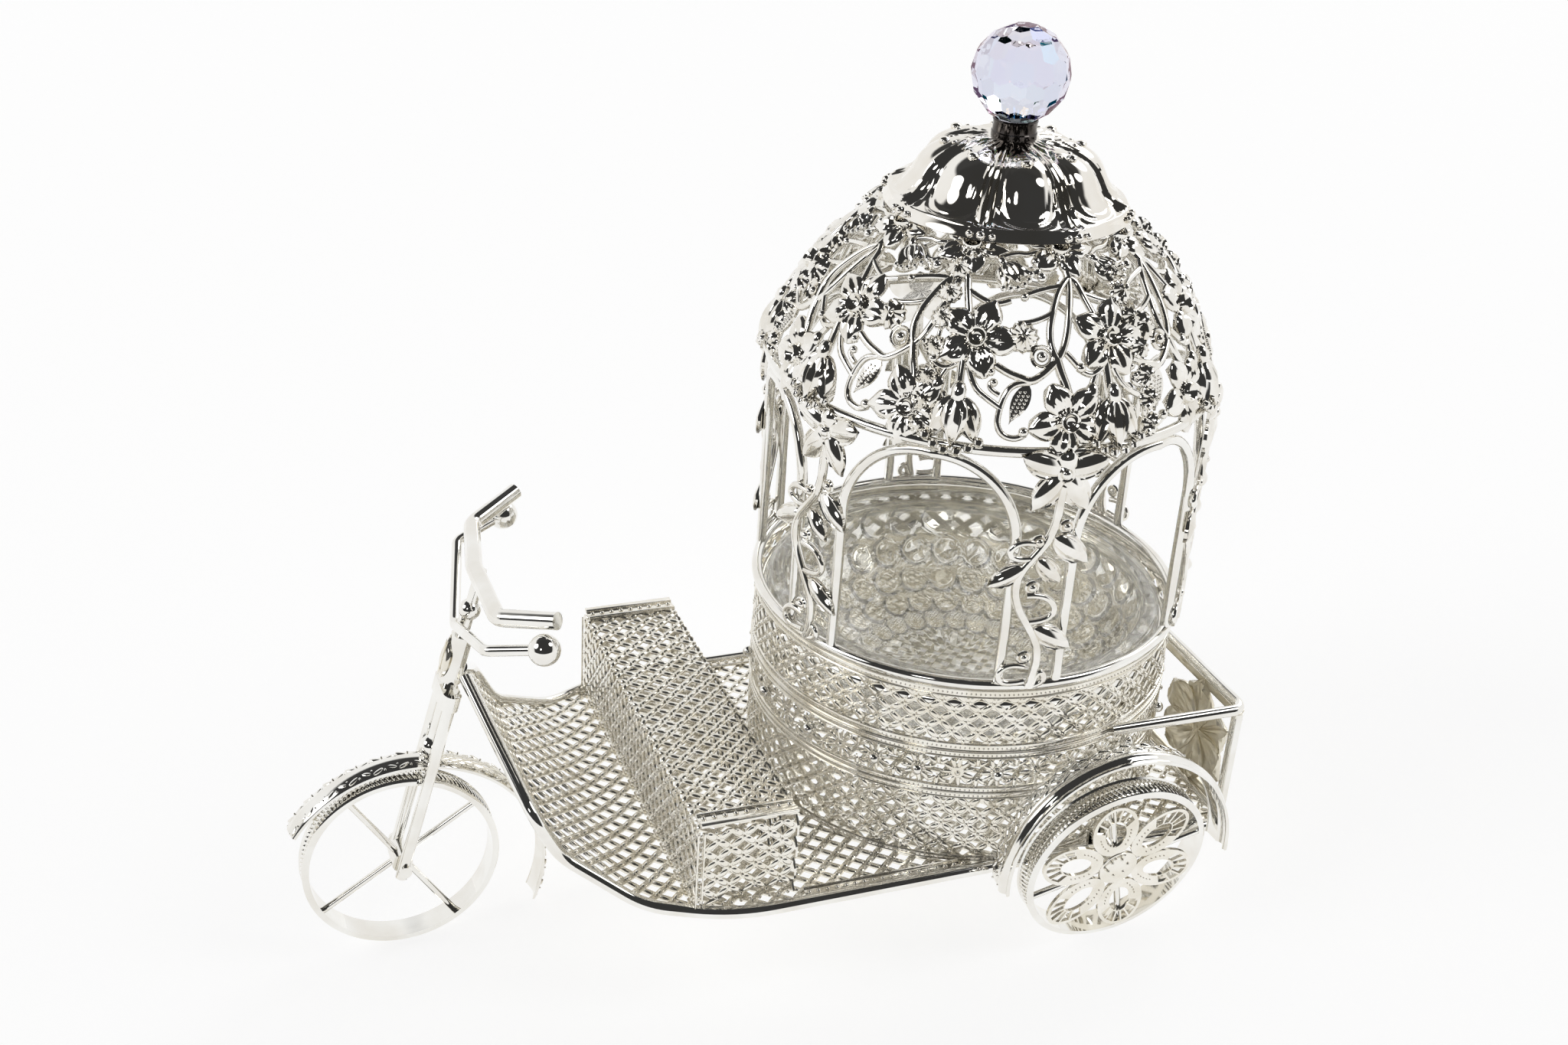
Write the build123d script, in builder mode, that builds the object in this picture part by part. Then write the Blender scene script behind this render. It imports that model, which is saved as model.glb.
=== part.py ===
from build123d import *
import os
from math import cos, radians, sin, sqrt

os.makedirs("parts", exist_ok=True)

# Driving dimensions in mm. The floor is z = 0, the rider looks along -X and their left is -Y.

# Deck: the body leans back on its wheels. Deck places are (length, width, height) from the foot of the drum.
lean = 3.5
drum_x = 98.94
deck_z = 41.1
deck_rear = 96.6
deck_half = 95.5
sheet_t = 1.2
border_d = 5.5
solder = 0.5

# Scoop: corners of its border wire, (length, half width, height), and the bend at each
scoop_corners = [(-139.0, 95.5, -0.6), (-173.0, 79.6, -0.6), (-204.5, 61.5, 18.5), (-215.0, 60.0, 38.5)]
scoop_bends = [80.0, 40.0, 20.0, 15.0]
neck = (-231.0, 4.2, 75.5)
edge_strip_w = 2.6
edge_strip_h = 1.4
edge_strip_y = 91.2

# Seat box
seat_front = -155.0
seat_back = -109.5
seat_half = 90.0
seat_h = 42.2
seat_end_t = 1.5
seat_corner_r = 2.5
seat_strip_w = 3.0
seat_strip_h = 2.0

# Drum: three pierced bands, a row of ball beads and a hidden ledge for the bowl
drum_r = 95.0
lower_h = 36.0
flower_h = 21.0
upper_h = 31.0
drum_h = lower_h + flower_h + upper_h
bead_r = 2.6
bead_h = 46.4
bead_count = 18
bead_pitch = 20.5
bead_start = -124.2
bead_clear_x = 97.0
ledge_d = 7.0
ledge_h = 78.8

# Glass bowl
bowl_r = 89.2
bowl_rim_low = 82.4
bowl_rim_top = 88.4
bowl_floor = 36.0
bowl_foot_r = 36.0
bowl_wall = 4.0

# Cage: ring, six arches and six vines
ring_r = 94.5
ring_d = 4.8
ring_h = 90.7
arch_d = 4.6
arch_centre = -129.0
arch_half_angle = 22.5
arch_spring = 156.4
vine_angle = -99.0
vine_t = 2.4
vine_in = 95.6
stem_w = 3.0

# Dome, cap and knob
dome_ring_d = 4.4
dome_ring_h = 197.6
dome_r = 97.0
dome_t = 2.4
dome_centre_h = 182.6
dome_low = 199.4
dome_top_r = 47.0
cap_rim_r = 51.0
cap_rim_h = 266.8
cap_rim_band = 4.7
cap_top_h = 295.2
cap_t = 1.6
collar_r = 9.5
knob_r = 20.0
knob_h = 321.0
knob_seat_h = 303.0
facet_rows = [(66.0, 6), (42.0, 10), (14.0, 12), (-14.0, 12), (-42.0, 10)]
facet_depth = 0.6
stud_r = 2.0
nut_flats = 7.0

# Dome openwork: like sprays side by side. Places are (degrees round from the spray's middle flower, height).
spray_count = 9
spray_start = -122.0
flowers = [((0.0, 237.0), 13.0, 72.0), ((25.4, 210.0), 12.5, 45.0), ((31.0, 264.0), 12.0, 72.0)]
flower_t = 2.2
petal_half_angle = 17.0
petal_root = 0.42
cup_r = 4.0
cup_h = 1.3
stem_loop_gap = [(29.4, 252.8), (23.5, 244.6), (23.6, 234.8), (26.2, 243.0)]
branch_gap = [
    (29.2, 246.5), (25.5, 233.2), (32.0, 227.8), (34.6, 230.2), (30.6, 237.0),
    (33.4, 245.0), (32.6, 249.2),
]
stem_gap = [(25.0, 228.2), (32.2, 223.2), (36.2, 225.6), (36.2, 213.4), (32.8, 216.0), (27.4, 222.6)]
leaf_side_gap = [
    (21.8, 226.6), (17.2, 222.4), (16.4, 214.0), (12.4, 204.0), (17.4, 204.0),
    (20.6, 218.0), (23.2, 221.2),
]
open_leaf_gap = [(13.4, 221.4), (10.2, 217.0), (9.4, 210.6), (12.2, 213.8)]
bud_gap = [
    (8.2, 225.0), (12.2, 222.6), (7.0, 217.4), (6.0, 210.0), (7.2, 204.0),
    (4.0, 204.0), (-0.8, 214.0), (-0.6, 225.0),
]
ring_gap = [(9.2, 229.6), (15.2, 225.9), (17.0, 227.8), (15.0, 231.6), (16.6, 235.6), (10.4, 233.6)]
fan_gap = [(20.9, 236.4), (20.8, 243.0), (18.0, 240.8), (18.6, 237.2)]
lily_gap = [(20.8, 247.2), (15.0, 243.4), (12.4, 244.8), (17.2, 249.0), (19.4, 257.4), (26.6, 253.8)]
top_gap = [(1.6, 249.6), (9.0, 247.2), (10.2, 250.0), (3.6, 258.4), (-0.8, 258.8), (-3.2, 253.2)]

# Rear rail and panel
rail_d = 5.0
rail_h = 58.6
rail_y = 93.0
rail_front = (31.0, 91.8)
rail_bend = 5.5
post_place = (94.6, 92.2)
panel_x = 96.4
panel_t = 1.6
petal_flower_r = 28.0
petal_flower_h = 28.0
petal_flower_pitch = 62.0

# Wheels
wheel_r = 42.9
rim_w = 11.0
rim_t = 3.0
rim_in = wheel_r - rim_t
spoke_d = 3.0
front_x = drum_x - 260.9
front_spoke_angle = 30.0
front_hub_r = 4.5
front_hub_half = 6.0
rear_x = drum_x + 29.6
rear_y = 109.7
camber = 8.9
rear_h = wheel_r * cos(radians(camber)) + rim_w / 2 * sin(radians(camber))
rear_spoke_angle = 12.0
rear_spoke_out = 3.5
rear_hub_r = 5.0
rear_hub_in = 7.0
rear_hub_out = 5.0
stub_r = 2.0
running_gap = 0.05
rosette_r = 39.0
rosette_low = 4.9
rosette_t = 1.4
rosette_angle = 42.0
bracket = (12.0, 2.0, 16.0)

# Fenders: arcs about their own centres, domed across
fender_t = 1.2
fender_crown = 2.5
rear_fender_r = 53.5
rear_fender_y = (96.0, 117.0)
rear_fender_arc = (-6.0, 187.0)
front_fender_r = 59.0
front_fender_half = 6.2
front_fender_offset = (3.5, -10.0)
front_fender_arc = (-26.4, 169.9)

# Steering: heights are measured along the raked axis from the front hub
rake = 18.9
stem_r = 2.5
stem_low = 58.0
stem_top = 143.0
sleeve_r = 4.7
sleeve_low = 90.0
sleeve_top = 112.0
crown_low = 80.5
crown_h = 7.0
crown_half = 11.8
crown_depth = 8.0
leg_r = 2.6
leg_y = 9.2
leg_low = -5.0
front_axle_r = 1.5
head_ball_r = 4.6
head_ball_h = 124.1
fender_ball_r = 4.8
fender_ball_h = 57.1
bar_turn = -5.7
bar_d = 7.2
bar_centre = (-3.1, 0.0, 143.4)
bar_bend = (1.1, 41.7, 143.4)
bar_end = (19.8, 58.8, 154.8)
lever_d = 4.5
lever_centre = (-4.4, 0.0, 116.0)
lever_bend = (-1.6, 48.0, 131.5)
lever_end = (17.7, 60.1, 142.2)
lever_ball_r = 6.5

# Planes and axes
deck = Plane(
    origin=(drum_x, 0, deck_z),
    x_dir=(cos(radians(lean)), 0, -sin(radians(lean))),
    z_dir=(sin(radians(lean)), 0, cos(radians(lean))),
)
deck_side = Plane(origin=deck.origin, x_dir=deck.x_dir, z_dir=(0, -1, 0))
drum_axis = Axis(deck.origin, deck.z_dir)
front_wheel = Plane(origin=(front_x, 0, wheel_r), x_dir=(1, 0, 0), z_dir=(0, -1, 0))
steer = Plane(
    origin=front_wheel.origin,
    x_dir=(cos(radians(rake)), 0, -sin(radians(rake))),
    z_dir=(sin(radians(rake)), 0, cos(radians(rake))),
)
sides = [("left", -1), ("right", 1)]


def turned(plane, angle):
    """Plane turned about its own normal."""
    return Plane(
        origin=plane.origin,
        x_dir=plane.x_dir.rotate(Axis((0, 0, 0), plane.z_dir), angle),
        z_dir=plane.z_dir,
    )


def rear_wheel(side):
    """Plane of a rear wheel: outward is its z, and its top leans outward."""
    return Plane(
        origin=(rear_x, side * rear_y, rear_h),
        x_dir=(-side, 0, 0),
        z_dir=(0, side * cos(radians(camber)), -sin(radians(camber))),
    )


def round_deck(radius, angle, height):
    """Point at a radius and angle about the drum's axis."""
    return deck.from_local_coords((radius * cos(radians(angle)), radius * sin(radians(angle)), height))


def mirrored_run(end, bend, centre):
    """Points of a bar that is the same on both sides of its centre."""
    return [(p[0], -p[1], p[2]) for p in (end, bend)] + [centre, bend, end]


# Platform: pierced floor sheet, soldered into the border wire
sheet_half = deck_half - border_d / 2 + 1.25
with BuildPart() as platform_sheet:
    with BuildSketch(deck.offset(-sheet_t)):
        with BuildLine():
            Polyline(
                (deck_rear - 1.5, 0),
                (deck_rear - 1.5, sheet_half),
                (scoop_corners[0][0], sheet_half),
                (seat_front, sheet_half - 7.2),
                (seat_front, 0),
            )
            mirror(about=Plane.XZ)
        make_face()
    extrude(amount=sheet_t)
platform_sheet.part.label = "platform_sheet"
export_step(platform_sheet.part, "parts/platform_sheet.step")

# Border wires: from the middle of the rear edge round the corner, along the side and up to the head
for name, side in sides:
    corners = [(deck_rear, 0, scoop_corners[0][2]), (deck_rear, side * deck_half, scoop_corners[0][2])]
    corners += [(x, side * y, z) for x, y, z in scoop_corners]
    corners.append((neck[0], side * neck[1], neck[2]))
    with BuildPart() as border_wire:
        with BuildLine(deck) as border_run:
            FilletPolyline(*corners, radius=[8.0] + scoop_bends)
        with BuildSketch(Plane(origin=border_run.line @ 0, z_dir=border_run.line % 0)):
            Circle(border_d / 2)
        sweep()
    border_wire.part.label = f"border_wire_{name}"
    export_step(border_wire.part, f"parts/border_wire_{name}.step")

# Beaded strips along the platform's long edges, before and behind the drum
with BuildPart() as platform_edge_strips:
    for low, high in ((seat_back + 3, -31.0), (31.0, deck_rear - 5)):
        with BuildSketch(deck):
            with Locations(((low + high) / 2, edge_strip_y), ((low + high) / 2, -edge_strip_y)):
                Rectangle(high - low, edge_strip_w)
        extrude(amount=edge_strip_h)
platform_edge_strips.part.label = "platform_edge_strips"
export_step(platform_edge_strips.part, "parts/platform_edge_strips.step")

# Scoop: pierced sheet that sweeps up from the seat to the head between the border wires
scoop_floor = -sheet_t / 2
with BuildPart() as scoop_sheet:
    with BuildLine(deck_side) as scoop_run:
        FilletPolyline(
            (seat_front, scoop_floor),
            (scoop_corners[1][0], scoop_floor),
            (scoop_corners[2][0], scoop_corners[2][2]),
            (scoop_corners[3][0], scoop_corners[3][2]),
            (neck[0], neck[2]),
            radius=[40.0, 20.0, 30.0],
        )
    with BuildSketch(Plane(origin=scoop_run.line @ 0, x_dir=(0, 1, 0), z_dir=scoop_run.line % 0)):
        Rectangle(2 * deck_half, sheet_t)
    sweep()
    with BuildSketch(deck):
        with BuildLine():
            Polyline(
                (seat_front, 0),
                (seat_front, sheet_half - 7.2),
                (scoop_corners[1][0], scoop_corners[1][1] - 1.5),
                (scoop_corners[2][0], scoop_corners[2][1] - 1.2),
                (scoop_corners[3][0], scoop_corners[3][1] - 1.5),
                (neck[0] + 1, neck[1]),
                (neck[0] + 1, 0),
            )
            mirror(about=Plane.XZ)
        make_face()
    extrude(amount=neck[2] + 10, both=True, mode=Mode.INTERSECT)
scoop_sheet.part.label = "scoop_sheet"
export_step(scoop_sheet.part, "parts/scoop_sheet.step")

# Seat box: lattice sheet bent over front, top and back, with a framed panel at each end
seat_mid = (seat_front + seat_back) / 2
seat_depth = seat_back - seat_front
with BuildPart() as seat_cover:
    with BuildSketch(deck_side):
        with Locations((seat_mid, 0)):
            Rectangle(seat_depth, seat_h, align=(Align.CENTER, Align.MIN))
        corners = vertices().group_by(Axis.Y)[-1]
        fillet(corners, seat_corner_r)
        with Locations((seat_mid, 0)):
            Rectangle(
                seat_depth - 2 * sheet_t,
                seat_h - sheet_t,
                align=(Align.CENTER, Align.MIN),
                mode=Mode.SUBTRACT,
            )
    extrude(amount=seat_half - seat_end_t, both=True)
seat_cover.part.label = "seat_cover"
export_step(seat_cover.part, "parts/seat_cover.step")

for name, side in sides:
    with BuildPart() as seat_end:
        with BuildSketch(deck_side.offset(-side * (seat_half - seat_end_t))):
            with Locations((seat_mid, 0)):
                Rectangle(seat_depth, seat_h, align=(Align.CENTER, Align.MIN))
            corners = vertices().group_by(Axis.Y)[-1]
            fillet(corners, seat_corner_r)
        extrude(amount=-side * seat_end_t)
    seat_end.part.label = f"seat_end_{name}"
    export_step(seat_end.part, f"parts/seat_end_{name}.step")

with BuildPart() as seat_edge_strips:
    with BuildSketch(deck.offset(seat_h)):
        strip_y = seat_half - seat_end_t - seat_strip_w / 2
        with Locations((seat_mid, strip_y), (seat_mid, -strip_y)):
            Rectangle(seat_depth - 2 * seat_corner_r, seat_strip_w)
    extrude(amount=seat_strip_h)
seat_edge_strips.part.label = "seat_edge_strips"
export_step(seat_edge_strips.part, "parts/seat_edge_strips.step")

# Drum wall: three pierced bands, one on the other
bands = [
    ("drum_lower_band", 0.0, lower_h, drum_r),
    ("drum_flower_band", lower_h, flower_h, drum_r + 0.4),
    ("drum_upper_band", lower_h + flower_h, upper_h, drum_r),
]
for name, low, height, radius in bands:
    with BuildPart() as band:
        with BuildSketch(deck.offset(low)):
            Circle(radius)
            Circle(drum_r - sheet_t, mode=Mode.SUBTRACT)
        extrude(amount=height)
    band.part.label = name
    export_step(band.part, f"parts/{name}.step")

# Ball beads soldered on the flower band, except where the rear panel passes
bead_ring_r = drum_r + bead_r / 2
with BuildPart() as drum_beads:
    for i in range(bead_count):
        angle = bead_start + i * bead_pitch
        if bead_ring_r * cos(radians(angle)) + bead_r < bead_clear_x:
            with Locations(round_deck(bead_ring_r, angle, bead_h)):
                Sphere(bead_r)
drum_beads.part.label = "drum_beads"
export_step(drum_beads.part, "parts/drum_beads.step")

# Wire ledge inside the drum, under the rim of the bowl
with BuildPart() as bowl_ledge:
    with BuildSketch(deck_side):
        with Locations((drum_r - sheet_t - ledge_d / 2 + 0.2, ledge_h)):
            Circle(ledge_d / 2)
    revolve(axis=drum_axis)
bowl_ledge.part.label = "bowl_ledge"
export_step(bowl_ledge.part, "parts/bowl_ledge.step")

# Glass bowl: a thick rim that hangs on the ledge, a round wall and a flat floor
with BuildPart() as glass_bowl:
    with BuildSketch(deck_side):
        with BuildLine():
            rim_out = (bowl_r, bowl_rim_top)
            rim_low = (bowl_r, bowl_rim_low)
            wall_top = (bowl_r - 2.6, bowl_rim_low)
            foot = (bowl_foot_r, bowl_floor)
            inner_top = (bowl_r - 2.6 - bowl_wall, bowl_rim_top)
            inner_foot = (bowl_foot_r, bowl_floor + bowl_wall)
            Polyline((0, bowl_floor), foot)
            ThreePointArc(foot, (bowl_r - 20, bowl_floor + 16), wall_top)
            Polyline(wall_top, rim_low, rim_out, inner_top)
            ThreePointArc(inner_top, (bowl_r - 24, bowl_floor + 19), inner_foot)
            Polyline(inner_foot, (0, bowl_floor + bowl_wall), (0, bowl_floor))
        make_face()
    revolve(axis=drum_axis)
    rim_edges = edges().filter_by(GeomType.CIRCLE).group_by(SortBy.RADIUS)[-1]
    fillet(rim_edges.sort_by(drum_axis)[-1], 2.0)
glass_bowl.part.label = "glass_bowl"
export_step(glass_bowl.part, "parts/glass_bowl.step")

# Cage ring: rests on the drum
with BuildPart() as cage_ring:
    with BuildSketch(deck_side):
        with Locations((ring_r, ring_h)):
            Circle(ring_d / 2)
    revolve(axis=drum_axis)
cage_ring.part.label = "cage_ring"
export_step(cage_ring.part, "parts/cage_ring.step")

# Six wire arches, each of two posts whose quarter bends meet in a mitre under the dome ring
arch_bend = 2 * ring_r * sin(radians(arch_half_angle / 2))
arch_foot = ring_h + ring_d / 2 - solder


def arch_half(centre, turn):
    """One post of an arch with its quarter bend, cut at the middle of the arch."""
    foot = round_deck(ring_r, centre + turn, arch_foot)
    spring = round_deck(ring_r, centre + turn, arch_spring)
    apex = round_deck(ring_r, centre, arch_spring + arch_bend)
    inward = (round_deck(ring_r, centre, arch_spring) - spring).normalized()
    across = round_deck(1, centre + 90, 0) - deck.origin
    with BuildPart() as half:
        with BuildSketch(Plane(origin=foot, z_dir=deck.z_dir)):
            Circle(arch_d / 2)
        extrude(amount=arch_spring - arch_foot)
        with BuildSketch(Plane(origin=spring, z_dir=deck.z_dir)):
            Circle(arch_d / 2)
        revolve(axis=Axis(spring + inward * arch_bend, deck.z_dir.cross(inward)), revolution_arc=90)
        with BuildSketch(Plane(origin=apex, z_dir=inward)):
            Circle(arch_d / 2)
        extrude(amount=arch_d / 2)
        split(bisect_by=Plane(origin=apex, z_dir=across), keep=Keep.BOTTOM if turn < 0 else Keep.TOP)
    return half.part


arch_halves = []
for i in range(6):
    for turn in (-arch_half_angle, arch_half_angle):
        arch_halves.append(arch_half(arch_centre + 60 * i, turn))
with BuildPart() as cage_arches:
    add(arch_halves)
cage_arches.part.label = "cage_arches"
export_step(cage_arches.part, "parts/cage_arches.step")

# Six cast vines: a flower at the top, an S-shaped stem, leaves, berries and open loops
flower_centre = (3.4, 189.5)
flower_eye_r = 3.4
petals = [(158, 19.0), (233, 19.0), (302, 19.0), (18, 19.0), (88, 7.0)]
petal_w = 8.8
leaves = [
    ((0.5, 161.5), (18.0, 149.0), 8.0),
    ((-3.5, 119.5), (15.8, 109.0), 7.5),
    ((-7.5, 148.5), (-23.5, 139.8), 6.5),
    ((-6.5, 151.5), (7.4, 140.1), 6.5),
]
berries = [(6.5, 166.0), (-3.7, 159.5), (-4.8, 137.8), (-4.0, 105.0)]
berry_r = 3.6
loops = [(-9.8, 155.4, 6.2), (-1.2, 128.4, 7.4), (-7.6, 97.3, 7.4)]
loop_wire = 2.2
with BuildPart() as cage_vines:
    for i in range(6):
        angle = vine_angle + 60 * i
        outward = round_deck(1, angle, 0) - deck.origin
        along = round_deck(1, angle + 90, 0) - deck.origin
        with BuildSketch(Plane(origin=round_deck(vine_in, angle, 0), x_dir=along, z_dir=outward)):
            with BuildLine() as stem_run:
                ThreePointArc((3.4, 188.0), (2.9, 170.0), (-3.5, 154.2))
                ThreePointArc((-3.5, 154.2), (-11.5, 138.0), (-5.2, 122.4))
                ThreePointArc((-5.2, 122.4), (1.9, 107.0), (0.0, 90.5))
            trace(stem_run.line, line_width=stem_w)
            with Locations(flower_centre):
                Circle(flower_eye_r)
            for bearing, length in petals:
                reach = length / 2 + 1.5
                petal_x = flower_centre[0] + reach * cos(radians(bearing))
                petal_y = flower_centre[1] + reach * sin(radians(bearing))
                with Locations(Location((petal_x, petal_y), bearing)):
                    Ellipse(length / 2, petal_w / 2)
            for base, tip, width in leaves:
                spine = Vector(*tip) - Vector(*base)
                tilt = Vector(1, 0).get_signed_angle(spine)
                with Locations(Location(Vector(*base) + spine / 2, tilt)):
                    Ellipse(spine.length / 2, width / 2)
            with Locations(*berries):
                Circle(berry_r)
            for loop_x, loop_y, radius in loops:
                with Locations((loop_x, loop_y)):
                    Circle(radius)
                    Circle(radius - loop_wire, mode=Mode.SUBTRACT)
        extrude(amount=vine_t)
cage_vines.part.label = "cage_vines"
export_step(cage_vines.part, "parts/cage_vines.step")

# Dome: wire ring on the arches and a cast floral shell above it
with BuildPart() as dome_ring:
    with BuildSketch(deck_side):
        with Locations((ring_r, dome_ring_h)):
            Circle(dome_ring_d / 2)
    revolve(axis=drum_axis)
dome_ring.part.label = "dome_ring"
export_step(dome_ring.part, "parts/dome_ring.step")


def dome_height(radius, shell_r):
    """Height of the dome's sphere at a radius from the axis."""
    return dome_centre_h + sqrt(shell_r**2 - radius**2)


def dome_radius(height, shell_r):
    """Radius of the dome's sphere at a height."""
    return sqrt(shell_r**2 - (height - dome_centre_h) ** 2)


dome_centre = deck.from_local_coords((0, 0, dome_centre_h))
spray_gaps = [
    stem_loop_gap,
    branch_gap,
    stem_gap,
    leaf_side_gap,
    open_leaf_gap,
    bud_gap,
    ring_gap,
    fan_gap,
    lily_gap,
    top_gap,
]


def dome_point(place):
    """Point on the dome at a place of the first spray."""
    bearing, height = place
    return round_deck(dome_radius(height, dome_r), spray_start + bearing, height)


def dome_plane(place, turn=0.0):
    """Plane on the dome that faces out, level along its x unless turned."""
    origin = dome_point(place)
    level = round_deck(1, spray_start + place[0] + 90, 0) - deck.origin
    return turned(Plane(origin=origin, x_dir=level, z_dir=origin - dome_centre), turn)


def flower_outline(radius):
    """Corners of five blunt petals."""
    points = []
    for k in range(5):
        for turn, reach in ((-petal_half_angle, 1.0), (petal_half_angle, 1.0), (36.0, petal_root)):
            angle = radians(72 * k + turn)
            points.append((reach * radius * cos(angle), reach * radius * sin(angle)))
    return points


# Gaps and flowers of one spray
with BuildPart() as gaps:
    for gap in spray_gaps:
        middle_bearing = sum(bearing for bearing, height in gap) / len(gap)
        middle_height = sum(height for bearing, height in gap) / len(gap)
        plane = dome_plane((middle_bearing, middle_height))
        corners = [plane.to_local_coords(dome_point(place)) for place in gap]
        with BuildSketch(plane):
            with BuildLine():
                Polyline(*[(corner.X, corner.Y) for corner in corners], close=True)
            make_face()
        extrude(amount=3 * dome_t, both=True)

with BuildPart() as blossoms:
    for place, radius, turn in flowers:
        with BuildSketch(dome_plane(place, turn).offset(-dome_t)):
            with BuildLine():
                Polyline(*flower_outline(radius), close=True)
            make_face()
        extrude(amount=dome_t + flower_t)
        with BuildSketch(dome_plane(place)):
            RegularPolygon(cup_r, 8)
        extrude(amount=flower_t + cup_h)

dome_in = dome_r - dome_t
dome_mid_r = 78.0
with BuildPart() as dome_shell:
    with BuildSketch(deck_side):
        with BuildLine():
            outer_low = (dome_radius(dome_low, dome_r), dome_low)
            outer_top = (dome_top_r, dome_height(dome_top_r, dome_r))
            inner_low = (dome_radius(dome_low, dome_in), dome_low)
            inner_top = (dome_top_r, dome_height(dome_top_r, dome_in))
            ThreePointArc(outer_low, (dome_mid_r, dome_height(dome_mid_r, dome_r)), outer_top)
            Line(outer_top, inner_top)
            ThreePointArc(inner_top, (dome_mid_r, dome_height(dome_mid_r, dome_in)), inner_low)
            Line(inner_low, outer_low)
        make_face()
    revolve(axis=drum_axis)
    turns = [i * 360 / spray_count for i in range(spray_count)]
    add([gaps.part.rotate(drum_axis, turn) for turn in turns], mode=Mode.SUBTRACT)
    add([blossoms.part.rotate(drum_axis, turn) for turn in turns])
    with BuildSketch(deck.offset(cap_rim_h)):
        Circle(cap_rim_r + solder)
    extrude(amount=4 * flower_t, mode=Mode.SUBTRACT)
dome_shell.part.label = "dome_shell"
export_step(dome_shell.part, "parts/dome_shell.step")

# Cap: pressed sheet with a rolled rim, bored for the knob's stud
with BuildPart() as cap:
    with BuildSketch(deck_side):
        with BuildLine():
            shoulder = (34.5, 287.5)
            shoulder_in = (33.4, 286.2)
            rim_top = (cap_rim_r, cap_rim_h + cap_rim_band)
            rim_in_top = (cap_rim_r - cap_t, cap_rim_h + cap_rim_band - cap_t)
            Polyline((stud_r, cap_top_h), (collar_r, cap_top_h))
            ThreePointArc((collar_r, cap_top_h), (24.0, 293.6), shoulder)
            ThreePointArc(shoulder, (41.8, 278.0), rim_top)
            Polyline(rim_top, (cap_rim_r, cap_rim_h), (cap_rim_r - cap_t, cap_rim_h), rim_in_top)
            ThreePointArc(rim_in_top, (40.7, 276.8), shoulder_in)
            ThreePointArc(shoulder_in, (23.4, 292.0), (collar_r, cap_top_h - cap_t))
            Polyline((collar_r, cap_top_h - cap_t), (stud_r, cap_top_h - cap_t), (stud_r, cap_top_h))
        make_face()
    revolve(axis=drum_axis)
cap.part.label = "cap"
export_step(cap.part, "parts/cap.step")

# Knob: a dark collar, a cut crystal ball, and the stud and nut that hold them on the cap
with BuildPart() as collar:
    with BuildSketch(deck.offset(cap_top_h)):
        Circle(collar_r)
        Circle(stud_r, mode=Mode.SUBTRACT)
    extrude(amount=knob_seat_h - cap_top_h)
    fillet(edges().filter_by(GeomType.CIRCLE).group_by(SortBy.RADIUS)[-1], 0.8)
collar.part.label = "collar"
export_step(collar.part, "parts/collar.step")

knob_centre = deck.from_local_coords((0, 0, knob_h))
stud_top = knob_seat_h + 3
with BuildPart() as crystal_knob:
    with Locations(knob_centre):
        Sphere(knob_r)
    for row, (elevation, count) in enumerate(facet_rows):
        for i in range(count):
            flat = cos(radians(elevation))
            facing = round_deck(flat, (i + row / 2) * 360 / count, sin(radians(elevation))) - deck.origin
            split(
                bisect_by=Plane(origin=knob_centre + facing * (knob_r - facet_depth), z_dir=facing),
                keep=Keep.BOTTOM,
            )
    split(bisect_by=deck.offset(knob_h + knob_r - facet_depth), keep=Keep.BOTTOM)
    split(bisect_by=deck.offset(knob_seat_h), keep=Keep.TOP)
    with BuildSketch(deck.offset(knob_seat_h)):
        Circle(stud_r)
    extrude(amount=stud_top - knob_seat_h, mode=Mode.SUBTRACT)
crystal_knob.part.label = "crystal_knob"
export_step(crystal_knob.part, "parts/crystal_knob.step")

nut_h = 3.4
nut_low = cap_top_h - cap_t - nut_h
with BuildPart() as knob_stud:
    with BuildSketch(deck.offset(nut_low - 2)):
        Circle(stud_r)
    extrude(amount=stud_top - nut_low + 2)
knob_stud.part.label = "knob_stud"
export_step(knob_stud.part, "parts/knob_stud.step")

with BuildPart() as knob_nut:
    with BuildSketch(deck.offset(nut_low)):
        RegularPolygon(nut_flats / 2, 6, major_radius=False)
        Circle(stud_r, mode=Mode.SUBTRACT)
    extrude(amount=nut_h)
knob_nut.part.label = "knob_nut"
export_step(knob_nut.part, "parts/knob_nut.step")

# Rear rail: one bent wire from one side of the drum round the back to the other, on two corner posts
with BuildPart() as rear_rail:
    with BuildLine(deck) as rail_run:
        FilletPolyline(
            (rail_front[0], -rail_front[1], rail_h),
            (deck_rear, -rail_y, rail_h),
            (deck_rear, rail_y, rail_h),
            (rail_front[0], rail_front[1], rail_h),
            radius=[rail_bend, rail_bend],
        )
    with BuildSketch(Plane(origin=rail_run.line @ 0, z_dir=rail_run.line % 0)):
        Circle(rail_d / 2)
    sweep()
rear_rail.part.label = "rear_rail"
export_step(rear_rail.part, "parts/rear_rail.step")

post_low = scoop_corners[0][2] + border_d / 2 - solder
with BuildPart() as rail_posts:
    with BuildSketch(deck.offset(post_low)):
        with Locations(post_place, (post_place[0], -post_place[1])):
            Circle(rail_d / 2)
    extrude(amount=rail_h - rail_d / 2 + solder - post_low)
rail_posts.part.label = "rail_posts"
export_step(rail_posts.part, "parts/rail_posts.step")

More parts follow.
